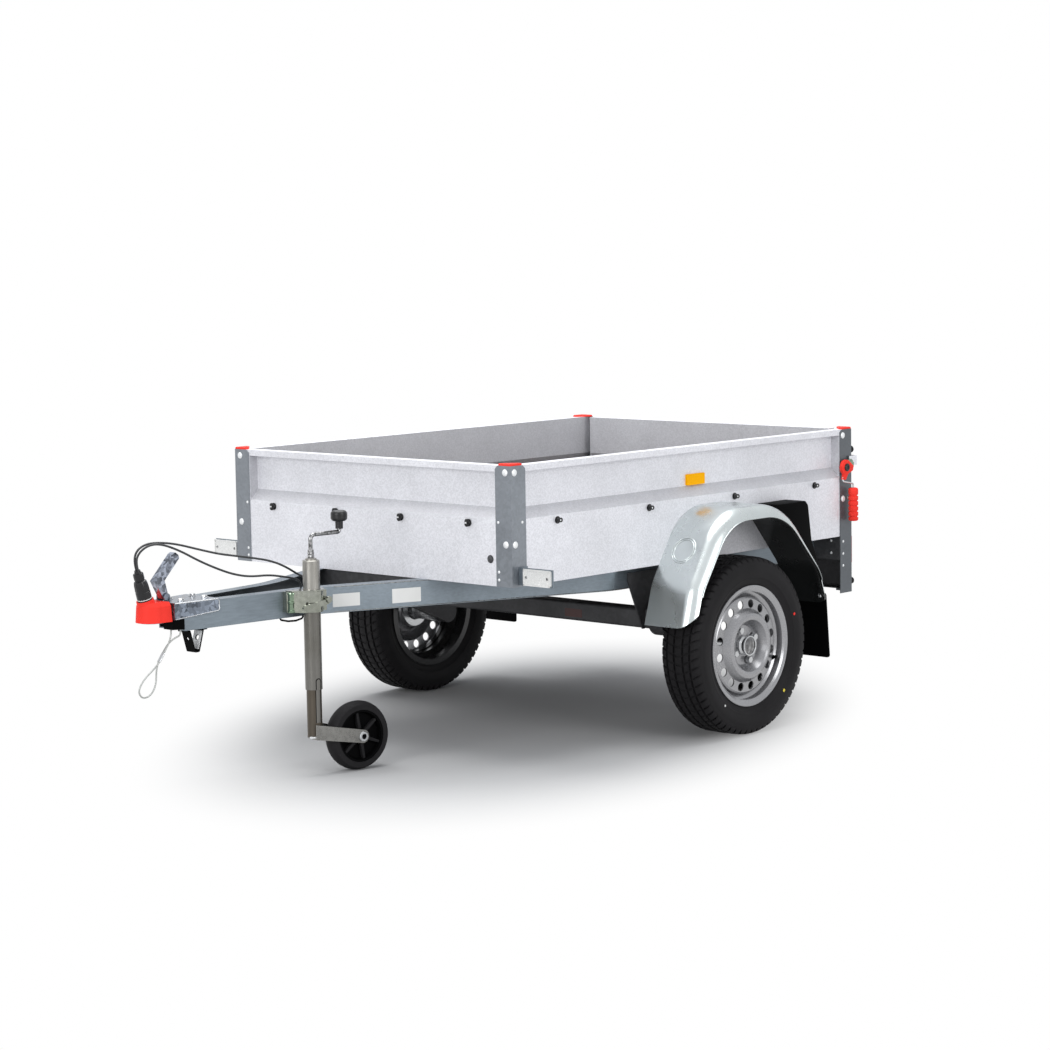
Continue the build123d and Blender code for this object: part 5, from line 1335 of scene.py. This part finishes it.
@dataclass
class BoxTrim:
    """Fasteners and cover knobs on the box."""

    fasteners: Fasteners
    bolt_y: float = 545.0
    bolt_rows: tuple[float, ...] = (842.0, 641.0)
    bolt_inset: Flat = (15.0, 45.0)             # from the front and the rear end of the box
    rivet_y: float = 517.0
    rivet_rows: tuple[float, ...] = (702.0, 563.0, 541.0)
    side_rivet: Flat = (45.0, 702.0)            # from the front end, and height
    rear_rivets: Outline = ((45, 505), (45, 466), (45, 428), (16, 640))
    inner_rivets: tuple[Point, ...] = ((63.5, 533, 507), (63.5, 533, 468))
    wall_y: float = 564.5
    front_face: float = FRONT_X - 2.5
    gate_face: float = REAR_X + 1
    knob_z: float = 695.0
    highlight_out: float = 12.6                       # from a knob's foot to the pale dot in its head, a painted highlight
    knob_steps: tuple[float, ...] = (-1.5, -0.5, 0.5, 1.5)
    side_step: float = 403.0
    end_step: float = 268.0

    def build(self) -> None:
        """Make the trim."""
        self._post_bolts()
        self._knobs()

    def _post_bolts(self) -> None:
        """Domed bolts and rivets on the corner posts."""
        bolts: list[tuple[Point, Point]] = []
        rivets: list[tuple[Point, Point]] = []
        for side in SIDES:
            outward, wall = (0, side, 0), side * HALF_WIDTH
            for z in self.bolt_rows:
                bolts += [((FRONT_X, side * self.bolt_y, z), (1, 0, 0)),
                          ((FRONT_X - self.bolt_inset[0], wall, z), outward),
                          ((REAR_X + self.bolt_inset[1], wall, z), outward)]
            for z in self.rivet_rows:
                rivets += [((FRONT_X, side * self.rivet_y, z), (1, 0, 0)),
                           ((REAR_X, side * self.rivet_y, z), (-1, 0, 0))]
            rivets.append(((FRONT_X - self.side_rivet[0], wall, self.side_rivet[1]), outward))
            rivets += [((REAR_X + x, wall, z), outward) for x, z in self.rear_rivets]
            rivets += [((REAR_X + x, side * y, z), (1, 0, 0)) for x, y, z in self.inner_rivets]
        for name, head, spots in (("post_bolts", dome_head(10.0, 3.4), bolts),
                                  ("post_rivets", dome_head(4.2, 1.8), rivets)):
            self.fasteners.place(name, head, spots, PALE_ZINC, "chassis", "zinc_steel")

    def _knob_head(self) -> Mesh:
        """Make one cover knob: a round foot, a waist and a two-lobed head.

        Returns:
            The mesh, standing on zero.
        """
        foot = [(-0.2, 0), (-0.2, 10.5), (2.2, 10.5), (3.0, 7.0), (6.0, 5.6), (7.0, 0)]
        lobe = [(5.5, 0), (5.5, 5.2), (7.0, 6.6), (11.0, 6.6), (12.7, 5.0), (13.0, 0)]
        return join_meshes([
            lathe(foot, (0, 0, 0), (0, 0, 1), 20),
            *(lathe(lobe, (side * 4.6, 0, 0), (0, 0, 1), 18) for side in SIDES)])

    def _knobs(self) -> None:
        """Cover knobs along the walls and the tailgate, each with a pale dot in its head that is a
        painted highlight.
        """
        middle = (FRONT_X + REAR_X) / 2
        on_box: list[tuple[Point, Point]] = []
        on_gate: list[tuple[Point, Point]] = []
        for step in self.knob_steps:
            for side in SIDES:
                on_box.append(((middle + step * self.side_step, side * self.wall_y, self.knob_z),
                               (0, side, 0)))
            y = step * self.end_step
            on_box.append(((self.front_face, y, self.knob_z), (1, 0, 0)))
            on_gate.append(((self.gate_face, y, self.knob_z), (-1, 0, 0)))
        rows = (("box", on_box, "chassis", "cover_knobs"),
                ("gate", on_gate, "tailgate_body", "tailgate_knobs"))
        for label, spots, body, node in rows:
            self.fasteners.place(f"{label}_knobs", self._knob_head(), spots, SHINY_BLACK, body,
                                 "black_plastic", node)
        # A pale dot on each knob's head: painted highlight.
        for label, spots, body, _ in rows:
            tips = [(tuple(Vector(place) + Vector(way) * self.highlight_out), way)
                    for place, way in spots]
            self.fasteners.place(f"{label}_knob_pins", dome_head(2.6, 1.0), tips, PALE_ZINC, body,
                                 "zinc_steel")


@dataclass
class CouplingTrim:
    """Bolts on the coupling and the rolled edges of its side plates and of the arms."""

    fasteners: Fasteners
    front_x: float = 1172.0
    rear_x: float = 1028.5
    half_front: float = 54.3
    half_rear: float = 70.2
    top_z: float = 526.3
    bolt_x: tuple[float, ...] = (1125.5, 1041.5)
    bolt_y: float = 25.0
    rim_z: tuple[float, ...] = (481.8, 492.4, 496.5, 519.0, 524.6)
    strap_x: float = 1122.5
    strap_y: float = 37.0
    loop: tuple[Point, ...] = (
        (812, 72, 450), (806, 75, 440), (786, 82, 435), (764, 90, 435), (748, 97, 440),
        (742, 100, 450))
    fold_x: tuple[float, ...] = (1136, 325, -690)
    fold_z: tuple[float, ...] = (520.4, 449.4)
    arm_widest: float = 465.0

    def build(self) -> None:
        """Make the bolts, the rolled edges and the strap's small parts."""
        spots = [((x, side * self.bolt_y, self.top_z), (0, 0, 1)) for x in self.bolt_x
                 for side in SIDES]
        self.fasteners.place("coupling_bolts", hex_head(8.5, 5.5, 11.5), spots, BRIGHT_ZINC,
                             "chassis", "zinc_steel")
        rims = []
        for side in SIDES:
            front, rear = side * self.half_front, side * self.half_rear
            bend = side * (self.half_rear - 0.3)
            foot, low, rise, high, top = self.rim_z
            rims.append(bead([
                (self.front_x, front, foot), (self.rear_x + 4, bend, low),
                (self.rear_x, rear, rise), (self.rear_x, rear, high),
                (self.rear_x + 4, bend, top), (self.front_x, front, top)], 1.5))
        add_piece("coupling_rims", join_meshes(rims), BRIGHT_ZINC, "chassis", "zinc_steel")
        self._strap()
        self._folds()

    def _strap(self) -> None:
        """Pale plate on the strap's rear leg, a painted reflection of the light on its galvanised
        face, and the loop of the cable clamp.
        """
        foot = Vector((self.strap_x - 32, self.strap_y, 386))
        head = Vector((self.strap_x - 49, self.strap_y, 444.7))
        up = (head - foot).normalized()
        out = Vector((up.z, 0, -up.x))
        middle = (foot + head) / 2 + out * 1.9
        half = (head - foot).length / 2
        # A pale plate on the face that looks up and forward: painted reflection of the light.
        plate = holed_plate([(-16, 5 - half), (16, 5 - half), (16, half - 5), (-16, half - 5)],
                            (0, half - 24, 7.6), middle, (0, 1, 0), up, 0.35)
        add_piece("strap_face", plate, PALE_ZINC, "chassis", "zinc_steel", smooth=30)
        loop = bead(self.loop, 2.8, sides=10)
        add_piece("clamp_loop", loop, SOFT_BLACK, "chassis", "black_plastic", smooth=60)

    def _folds(self) -> None:
        """Rolled edges of the drawbar's arms."""
        folds = []
        for side in SIDES:
            for z in self.fold_z:
                line = [(x + AXLE_X, side * (min(self.arm_widest, arm_face(x)) + 0.25), z)
                        for x in self.fold_x]
                folds.append(bead(line, 0.9, sides=8))
        add_piece("arm_folds", join_meshes(folds), FORK_STEEL, "chassis", "galvanised_steel",
                  smooth=60)


@dataclass
class JockeyTrim:
    """Clamp plate, clamp barrel, nuts, guide bar and weld of the jockey wheel."""

    fasteners: Fasteners
    clamp_foot: float = 464.0
    side_azimuth: float = math.radians(79.6)
    yaw: float = math.radians(-10.4)
    trail: float = 140.0
    wheel_radius: float = 98.0
    axle_half: float = 33.0             # half the length of the wheel's axle
    spoke_foot: float = 7.8             # how far the spokes start beside the middle
    weld_radius: float = 21.4
    weld_z: float = 110.5
    beads: int = 14
    clamp_outline: Outline = (
        (-44, -10), (-38, -17), (-20, -19), (0, -27), (22, -30), (62, -40), (64, -34), (62, -14),
        (40, 8), (18, 24), (0, 31), (-20, 28), (-36, 12), (-44, 2))
    barrel: Outline = (
        (-0.5, 0), (-0.5, 12), (1, 13), (6, 13), (7, 11.6), (24, 11.2), (25, 12.4), (31, 12.4),
        (32, 11.2), (50, 11.6), (51, 13), (56, 13), (57.5, 12), (57.5, 0))
    screw: Outline = (
        (0, 0), (0, 9), (3, 9.5), (3, 6), (18, 6), (18, 10), (25, 9.5), (25, 0))
    nuts: tuple[Point, ...] = ((613.6, 621, 10.0), (622.5, 629, 9.6), (630.5, 635.5, 8.8))
    axle_ring: Outline = (
        (-0.3, 0), (-0.3, 14.5), (3.6, 14.5), (5.2, 12.6), (5.2, 8.0), (3.4, 7.2), (3.4, 0))
    axle_hole: Outline = ((3.3, 0), (3.3, 7.1), (3.7, 7.1), (3.7, 0))
    spoke: Outline = ((20, -5), (66, -3.5), (66, 3.5), (20, 5))

    def build(self) -> None:
        """Make the jockey wheel's small parts."""
        self._clamp()
        nuts = [prism(ring_points(radius, 6), (JOCKEY_X, JOCKEY_Y, low), (1, 0, 0),
                      (0, 1, 0), high - low, 0.7) for low, high, radius in self.nuts]
        add_piece("crank_nuts", join_meshes(nuts), HUB_STEEL, "jockey_crank_body", "zinc_steel",
                  smooth=30)
        self._strips()
        self._caster()
        self._weld()

    def _clamp(self) -> None:
        """Plate on top of the clamp, open where the tube goes through, barrel and screw."""
        plate = holed_plate(self.clamp_outline, (0, 0, 25.2),
                            (JOCKEY_X, JOCKEY_Y, 522.3), (1, 0, 0), (0, 1, 0), 3.5)
        add_piece("clamp_plate", plate, YELLOW_ZINC, "chassis", "zinc_steel", smooth=30)
        barrel = lathe(self.barrel, (JOCKEY_X + 50, JOCKEY_Y - 28, self.clamp_foot), (0, 0, 1), 36)
        add_piece("clamp_barrel", barrel, GREEN_ZINC, "chassis", "zinc_steel")
        screw = lathe(self.screw, (JOCKEY_X - 34, JOCKEY_Y + 12, self.clamp_foot + 32),
                      (0, 1, 0), 24)
        add_piece("clamp_screw", screw, YELLOW_ZINC, "chassis", "zinc_steel")

    def _strips(self) -> None:
        """Guide bar on the leg and the slot in the outer tube, each a steel strip on a wider black
        strip: painted shade along the bar's edges and in the slot.
        """
        # The black strips are painted shade along the bar's edges and inside the slot.
        for name, radii, half, low, high, rounded, finish, body, slot in (
                ("guide_edges", (20.9, 21.33), 8.6, 152, 262, False, SOFT_BLACK,
                 "jockey_leg_body", "black_plastic"),
                ("guide_bar", (20.9, 21.45), 6.6, 152, 262, False, TUBE_STEEL,
                 "jockey_leg_body", "zinc_steel"),
                ("tube_slot", (23.7, 24.25), 8.6, 245.4, 278, True, SOFT_BLACK,
                 "jockey_column_body", "black_plastic"),
                ("slot_bar", (23.7, 24.4), 6.2, 245.4, 275.2, True, TUBE_STEEL,
                 "jockey_column_body", "zinc_steel")):
            strip = curved_strip((JOCKEY_X, JOCKEY_Y, 0), self.side_azimuth, radii, half,
                                 low, high, rounded)
            add_piece(name, strip, finish, body, slot)

    def _caster(self) -> None:
        """Rings at the ends of the wheel's axle, black discs of painted shade in their hollows, and
        spokes on its rim.
        """
        ahead = Vector((math.cos(self.yaw), math.sin(self.yaw), 0))
        left = Vector((-ahead.y, ahead.x, 0))
        hub = Vector((JOCKEY_X, JOCKEY_Y, self.wheel_radius)) - ahead * self.trail
        rings, holes, spokes = [], [], []
        for side in SIDES:
            outward = left * side
            face = hub + outward * self.axle_half
            rings.append(lathe(self.axle_ring, face, outward, 40))
            # A black disc in each ring's hollow: painted shade.
            holes.append(lathe(self.axle_hole, face, outward, 24))
            for k in range(6):
                angle = math.tau * (k + 0.35) / 6
                radial = ahead * math.cos(angle) + Vector((0, 0, 1)) * math.sin(angle)
                spokes.append(prism(self.spoke, hub + outward * self.spoke_foot,
                                    radial, outward.cross(radial), 12.5, 0.8))
        add_piece("axle_rings", join_meshes(rings), BRIGHT_ZINC, "jockey_fork_body", "zinc_steel")
        add_piece("axle_ends", join_meshes(holes), SOFT_BLACK, "jockey_fork_body", "black_plastic")
        add_piece("caster_spokes", join_meshes(spokes), TYRE_RUBBER, "jockey_wheel_body",
                  "black_plastic", smooth=30)

    def _weld(self) -> None:
        """Weld at the foot of the leg."""
        spots = []
        for k in range(self.beads):
            angle = self.side_azimuth + math.radians(-70 + 140 * k / (self.beads - 1))
            across, along = math.cos(angle), math.sin(angle)
            spots.append(((JOCKEY_X + self.weld_radius * across,
                           JOCKEY_Y + self.weld_radius * along, self.weld_z),
                          (across, along, 0.6)))
        self.fasteners.place("leg_weld", dome_head(3.4, 2.0), spots, BRIGHT_ZINC, "jockey_leg_body",
                             "zinc_steel")


@dataclass
class Latches:
    """Latch cams, wires and ribbed grips at the rear posts."""

    pivot: Flat = (REAR_X + 50.0, 742.0)
    cam_y: float = 574.8
    cam_depth: float = 11.0
    cam_radius: float = 24.0
    grip_y: float = 590.8
    grip_x: float = REAR_X + 23.0
    grip_top: float = 676.0
    grip_length: float = 106.0
    ribs: int = 5
    pin: Outline = (
        (-7, 0), (-7, 9), (11, 9), (11.4, 12), (14, 12.4), (15.5, 10.5), (15.5, 5), (14, 4.5),
        (14, 0))
    hook: Outline = (
        (-40, 0), (-42, 12), (-30, 24), (-14, 25), (-6, 20), (-18, 16), (-26, 6))

    def build(self) -> None:
        """Make both latches."""
        for side, label in SIDES.items():
            for name, mesh, finish, slot, smooth, replaced in (
                    ("cam", self._cam(), RED_PLASTIC, "red_plastic", 30, f"latch_{label}"),
                    ("pivot", self._pin(), SHINY_BLACK, "black_plastic", 34, None),
                    ("hook", self._hook(), GREEN_ZINC, "zinc_steel", 30, None),
                    ("wire", self._wire(), BRIGHT_ZINC, "zinc_steel", 60, None),
                    ("grip", self._grip(), RED_PLASTIC, "red_plastic", 42,
                     f"latch_grip_{label}")):
                if side < 0:
                    mesh.transform(Matrix.Diagonal((1, -1, 1, 1)))
                    mesh.flip_normals()
                piece = f"ribbed_grip_{label}" if name == "grip" else f"latch_{name}_{label}"
                add_piece(piece, mesh, finish, f"latch_{label}_body", slot,
                          *([replaced] if replaced else []), smooth=smooth)

    def _cam(self) -> Mesh:
        """Make the left latch's cam.

        Returns:
            The closed mesh.
        """
        px, pz = self.pivot
        outline = [(-38, 2)]
        outline += [(self.cam_radius * math.cos(a), self.cam_radius * math.sin(a))
                    for a in (math.radians(d) for d in range(120, -61, -15))]
        outline += [(16, -38), (4, -40), (-8, -22), (-34, -12)]
        return prism(outline, (px, self.cam_y + self.cam_depth, pz), (1, 0, 0), (0, 0, 1),
                     self.cam_depth, 1.6)

    def _pin(self) -> Mesh:
        """Make the left cam's pivot bolt."""
        px, pz = self.pivot
        return lathe(self.pin, (px, self.cam_y, pz), (0, 1, 0), 28)

    def _hook(self) -> Mesh:
        """Make the left latch's hook."""
        px, pz = self.pivot
        return prism(self.hook, (px, self.cam_y + 9.5, pz), (1, 0, 0), (0, 0, 1), 8.0, 1.2)

    def _wire(self) -> Mesh:
        """Make the left latch's wire, which runs outwards from the cam to the grip.

        Returns:
            The closed mesh.
        """
        px, pz = self.pivot
        middle = self.cam_y + self.cam_depth / 2
        flat = rounded_path([(px + 12, pz - 30), (px + 14, pz - 44), (self.grip_x, pz - 53),
                             (self.grip_x, self.grip_top - 0.5)], (5.5, 5.5), 6)
        line = []
        for x, z in flat:
            share = min(1.0, max(0.0, (px + 14 - x) / (px + 14 - self.grip_x)))
            line.append((x, middle + (self.grip_y - middle) * share, z))
        return bead(line, 2.6, sides=12)

    def _grip(self) -> Mesh:
        """Make the left latch's ribbed grip.

        Returns:
            The closed mesh.
        """
        long = self.grip_length
        pitch = (long - 22) / self.ribs
        profile = [(0.0, 0.0), (0.0, 10.5), (1.5, 14.0), (5.0, 15.6), (9.0, 15.8)]
        for low in (11 + rib * pitch for rib in range(self.ribs)):
            profile += [(low, 15.6), (low + 1.2, 13.0), (low + 4.6, 12.4), (low + 5.8, 15.4),
                        (low + pitch - 1.5, 15.8)]
        profile += [(long - 5, 15.4), (long - 1.5, 13.5), (long, 9.0), (long, 0.0)]
        return lathe(profile, (self.grip_x, self.grip_y, self.grip_top - long), (0, 0, 1), 40)


@dataclass
class GuardTrim:
    """Rolled edge, embossed ring and bolts of the mudguards."""

    fasteners: Fasteners
    path: Outline = (
        (304, 352), (268, 470), (130, 684), (-158, 684), (-345, 470), (-386, 352))
    bends: tuple[float, ...] = (150, 185, 230, 150)
    skirt: float = 27.0
    brow: float = 10.0
    outer_y: float = 741.0
    edge_foot: float = 372.0            # the rolled edge ends above this height
    ring_centre: Point = (205.5, 635.7, 566.9)
    ring_radii: tuple[float, ...] = (41.0, 35.0)
    bolt: Point = (-374.5, 700, 375)
    bolt_way: Point = (0.945, 0, -0.328)

    def _edge_line(self) -> list[Point]:
        """Lay out the rolled edge along the left guard's outer side.

        Returns:
            Its points.
        """
        moved = shifted_path(self.path, -self.skirt)
        moved = [*moved[:2], *((x, z - self.brow) for x, z in moved[2:4]), *moved[4:]]
        line = rounded_path(moved, [bend - self.skirt for bend in self.bends], 10)
        return [(x + AXLE_X, self.outer_y - 1.2, z) for x, z in line if z > self.edge_foot]

    def build(self) -> None:
        """Make the trim of both guards."""
        rims, rings, bolts = [], [], []
        (high_x, high_z), (low_x, low_z) = self.path[2], self.path[1]
        slope = Vector((high_x - low_x, 0, high_z - low_z)).normalized()
        normal = Vector((slope.z, 0, -slope.x))
        for side in SIDES:
            rims.append(bead([(x, side * y, z) for x, y, z in self._edge_line()], 2.3, sides=10))
            x, y, z = self.ring_centre
            centre = Vector((x + AXLE_X, side * y, z)) + normal * 0.1
            for radius in self.ring_radii:
                loop = [centre + slope * a + Vector((0, b, 0))
                        for a, b in ring_points(radius, 48)]
                rings.append(bead(loop, 2.0, closed=True))
            x, y, z = self.bolt
            bolts.append(((AXLE_X + x, side * y, z), self.bolt_way))
        add_piece("guard_edges", join_meshes(rims), GUARD_ZINC, "chassis", "galvanised_steel",
                  smooth=60)
        add_piece("guard_rings", join_meshes(rings), GUARD_ZINC, "chassis", "galvanised_steel",
                  smooth=60)
        self.fasteners.place("guard_bolts", dome_head(6.0, 4.0, 2.0), bolts, BRIGHT_ZINC, "chassis",
                             "zinc_steel")


@dataclass
class SmallTrim:
    """Labels, reflector frames, chock ribs, lamp lenses and tyre marks."""

    fasteners: Fasteners
    labels: tuple[tuple[float, ...], ...] = (   # rear end, front end, foot and top
        (1064.3, 1140.0, 463.0, 500.0), (892.0, 973.5, 461.0, 502.0))
    chock_outline: Outline = (
        (-236, 664), (-380, 664), (-394, 650), (-411, 539), (-443, 472), (-356, 472), (-236, 642))
    ramp_foot: Flat = (-356, 472)
    ramp_run: Flat = (120, 170)
    ribs: int = 7
    wall_y: float = 564.8
    chock_depth: float = 78.0
    tag: Point = (AXLE_X + 189.4, 186.5, 344)
    wall_bolt: Point = (FRONT_X - 2.3, 483.3, 597.3)
    lamp_x: float = REAR_X - 43.5
    mark_y: float = 731.3
    reflector: Point = (FRONT_X - 18.2, 641, 553)
    frame_bars: tuple[tuple[float, ...], ...] = (   # place across and up, width and height
        (0, 21.5, 98, 4), (0, -21.5, 98, 4), (47.5, 0, 4, 43), (-47.5, 0, 4, 43))
    marks: tuple[tuple[str, Finish, str, float, float, float], ...] = (
        ("red", RED_PLASTIC, "red_plastic", -201.2, 340.9, 4.5),
        ("yellow", YELLOW_MARK, "clear_reflector", -147.6, 114.3, 5.0),
        ("white", WHITE_LABEL, "clear_reflector", 137.5, 106.6, 3.5))

    def build(self) -> None:
        """Make the small trim."""
        self._labels()
        self._chocks()
        self._reflectors()
        self._lamps()
        self._tyre_marks()

    def _labels(self) -> None:
        """Blank stickers on the left arm and the axle tube."""
        along = Vector((1, -ARM_SLOPE, 0)).normalized()
        sheets = []
        for near, far, low, high in self.labels:
            middle = (near + far) / 2
            face = (middle + AXLE_X, arm_face(middle) + 0.35, (low + high) / 2)
            sheets.append(prism(rounded_box((far - near) / along.x, high - low, 1.5),
                                face, along, (0, 0, 1), -0.25))
        add_piece("arm_labels", join_meshes(sheets), WHITE_LABEL, "chassis", "clear_reflector")
        tag = prism(rounded_box(69, 25, 1.5), self.tag, (0, 1, 0), (0, 0, 1), -0.3)
        add_piece("axle_label", tag, DARK_LABEL, "chassis", "red_plastic")

    def _chocks(self) -> None:
        """Chock bodies with rounded edges, and the ribs on their ramps."""
        shells = []
        outline = [(x + AXLE_X, z) for x, z in self.chock_outline]
        run, rise = self.ramp_run
        for side in SIDES:
            y = side * self.wall_y + (self.chock_depth if side > 0 else 0)
            shells.append(prism(outline, (0, y, 0), (1, 0, 0), (0, 0, 1), self.chock_depth, 5.0))
            for share in ((step + 0.5) / self.ribs for step in range(self.ribs)):
                foot = (AXLE_X + self.ramp_foot[0] + run * share, y - 6,
                        self.ramp_foot[1] + rise * share)
                shells.append(prism(rounded_box(9, 5, 2.0), foot, (run, 0, rise),
                                    (-rise, 0, run), 66.0))
        add_piece("chock_bodies", join_meshes(shells), SOFT_BLACK, "chassis", "black_plastic",
                  "wheel_chocks", smooth=34)

    def _reflectors(self) -> None:
        """Frames and screws of the front reflectors, and the bolt beside them."""
        frames, screws = [], []
        x, y, z = self.reflector
        for side in SIDES:
            for across, up, width, height in self.frame_bars:
                frames.append(prism(rounded_box(width, height, 1.5),
                                    (x, side * y + across, z + up), (0, 1, 0), (0, 0, 1), 1.8))
            screws += [((x, side * y + across, z), (1, 0, 0)) for across in (39.0, -39.0)]
        add_piece("reflector_frames", join_meshes(frames), CLEAR_LENS, "chassis", "clear_reflector")
        self.fasteners.place("reflector_screws", dome_head(4.2, 1.6), screws, HUB_STEEL, "chassis",
                             "zinc_steel")
        self.fasteners.place("wall_bolt", dome_head(8.5, 3.6, 3.0), [(self.wall_bolt, (1, 0, 0))],
                             DARK_STEEL, "chassis", "dark_steel")

    def _lamps(self) -> None:
        """Amber and clear fields of the rear lamps."""
        for label, finish, y, z, size in (("amber", AMBER_LENS, 500, 468, (52, 74, 5)),
                                          ("clear", CLEAR_LENS, 352, 448, (44, 34, 4))):
            fields = [prism(rounded_box(*size), (self.lamp_x, side * y, z), (0, 1, 0),
                            (0, 0, 1), 0.8) for side in SIDES]
            add_piece(f"lamp_{label}", join_meshes(fields), finish, "chassis", f"{label}_reflector")

    def _tyre_marks(self) -> None:
        """Small paint marks on the tyres' outer walls."""
        for side, label in SIDES.items():
            for name, finish, slot, x, z, size in self.marks:
                mark = lathe([(0, 0), (0, size), (0.3, size * 0.9), (0.3, 0)],
                             (AXLE_X + x, side * self.mark_y, z), (0, side, 0), 14)
                add_piece(f"tyre_mark_{name}_{label}", mark, finish, f"wheel_{label}_body", slot)


class Trailer:
    """The whole dressed trailer."""

    def __init__(self) -> None:
        """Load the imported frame."""
        self.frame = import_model()
        self.packed_box = [list(corner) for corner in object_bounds()]

    def paint_nodes(self) -> None:
        """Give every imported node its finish."""
        for finish, names in NODE_FINISHES.items():
            for name in names.split():
                materials = self.frame["nodes"][name].data.materials
                materials.clear()
                materials.append(finish.material())

    def build(self) -> None:
        """Make the studio, the finishes and every piece."""
        Studio().build()
        Cables().build()
        self.paint_nodes()
        fasteners = Fasteners()
        for group in (RoadWheels(), BoxTrim(fasteners), CouplingTrim(fasteners),
                      JockeyTrim(fasteners), Latches(), GuardTrim(fasteners),
                      SmallTrim(fasteners)):
            group.build()


def main() -> None:
    """Build the trailer."""
    logging.basicConfig(level=logging.INFO, format="%(message)s")
    trailer = Trailer()
    trailer.build()
    bpy.context.scene.view_settings.view_transform = "Standard"


if __name__ == "__main__":
    main()
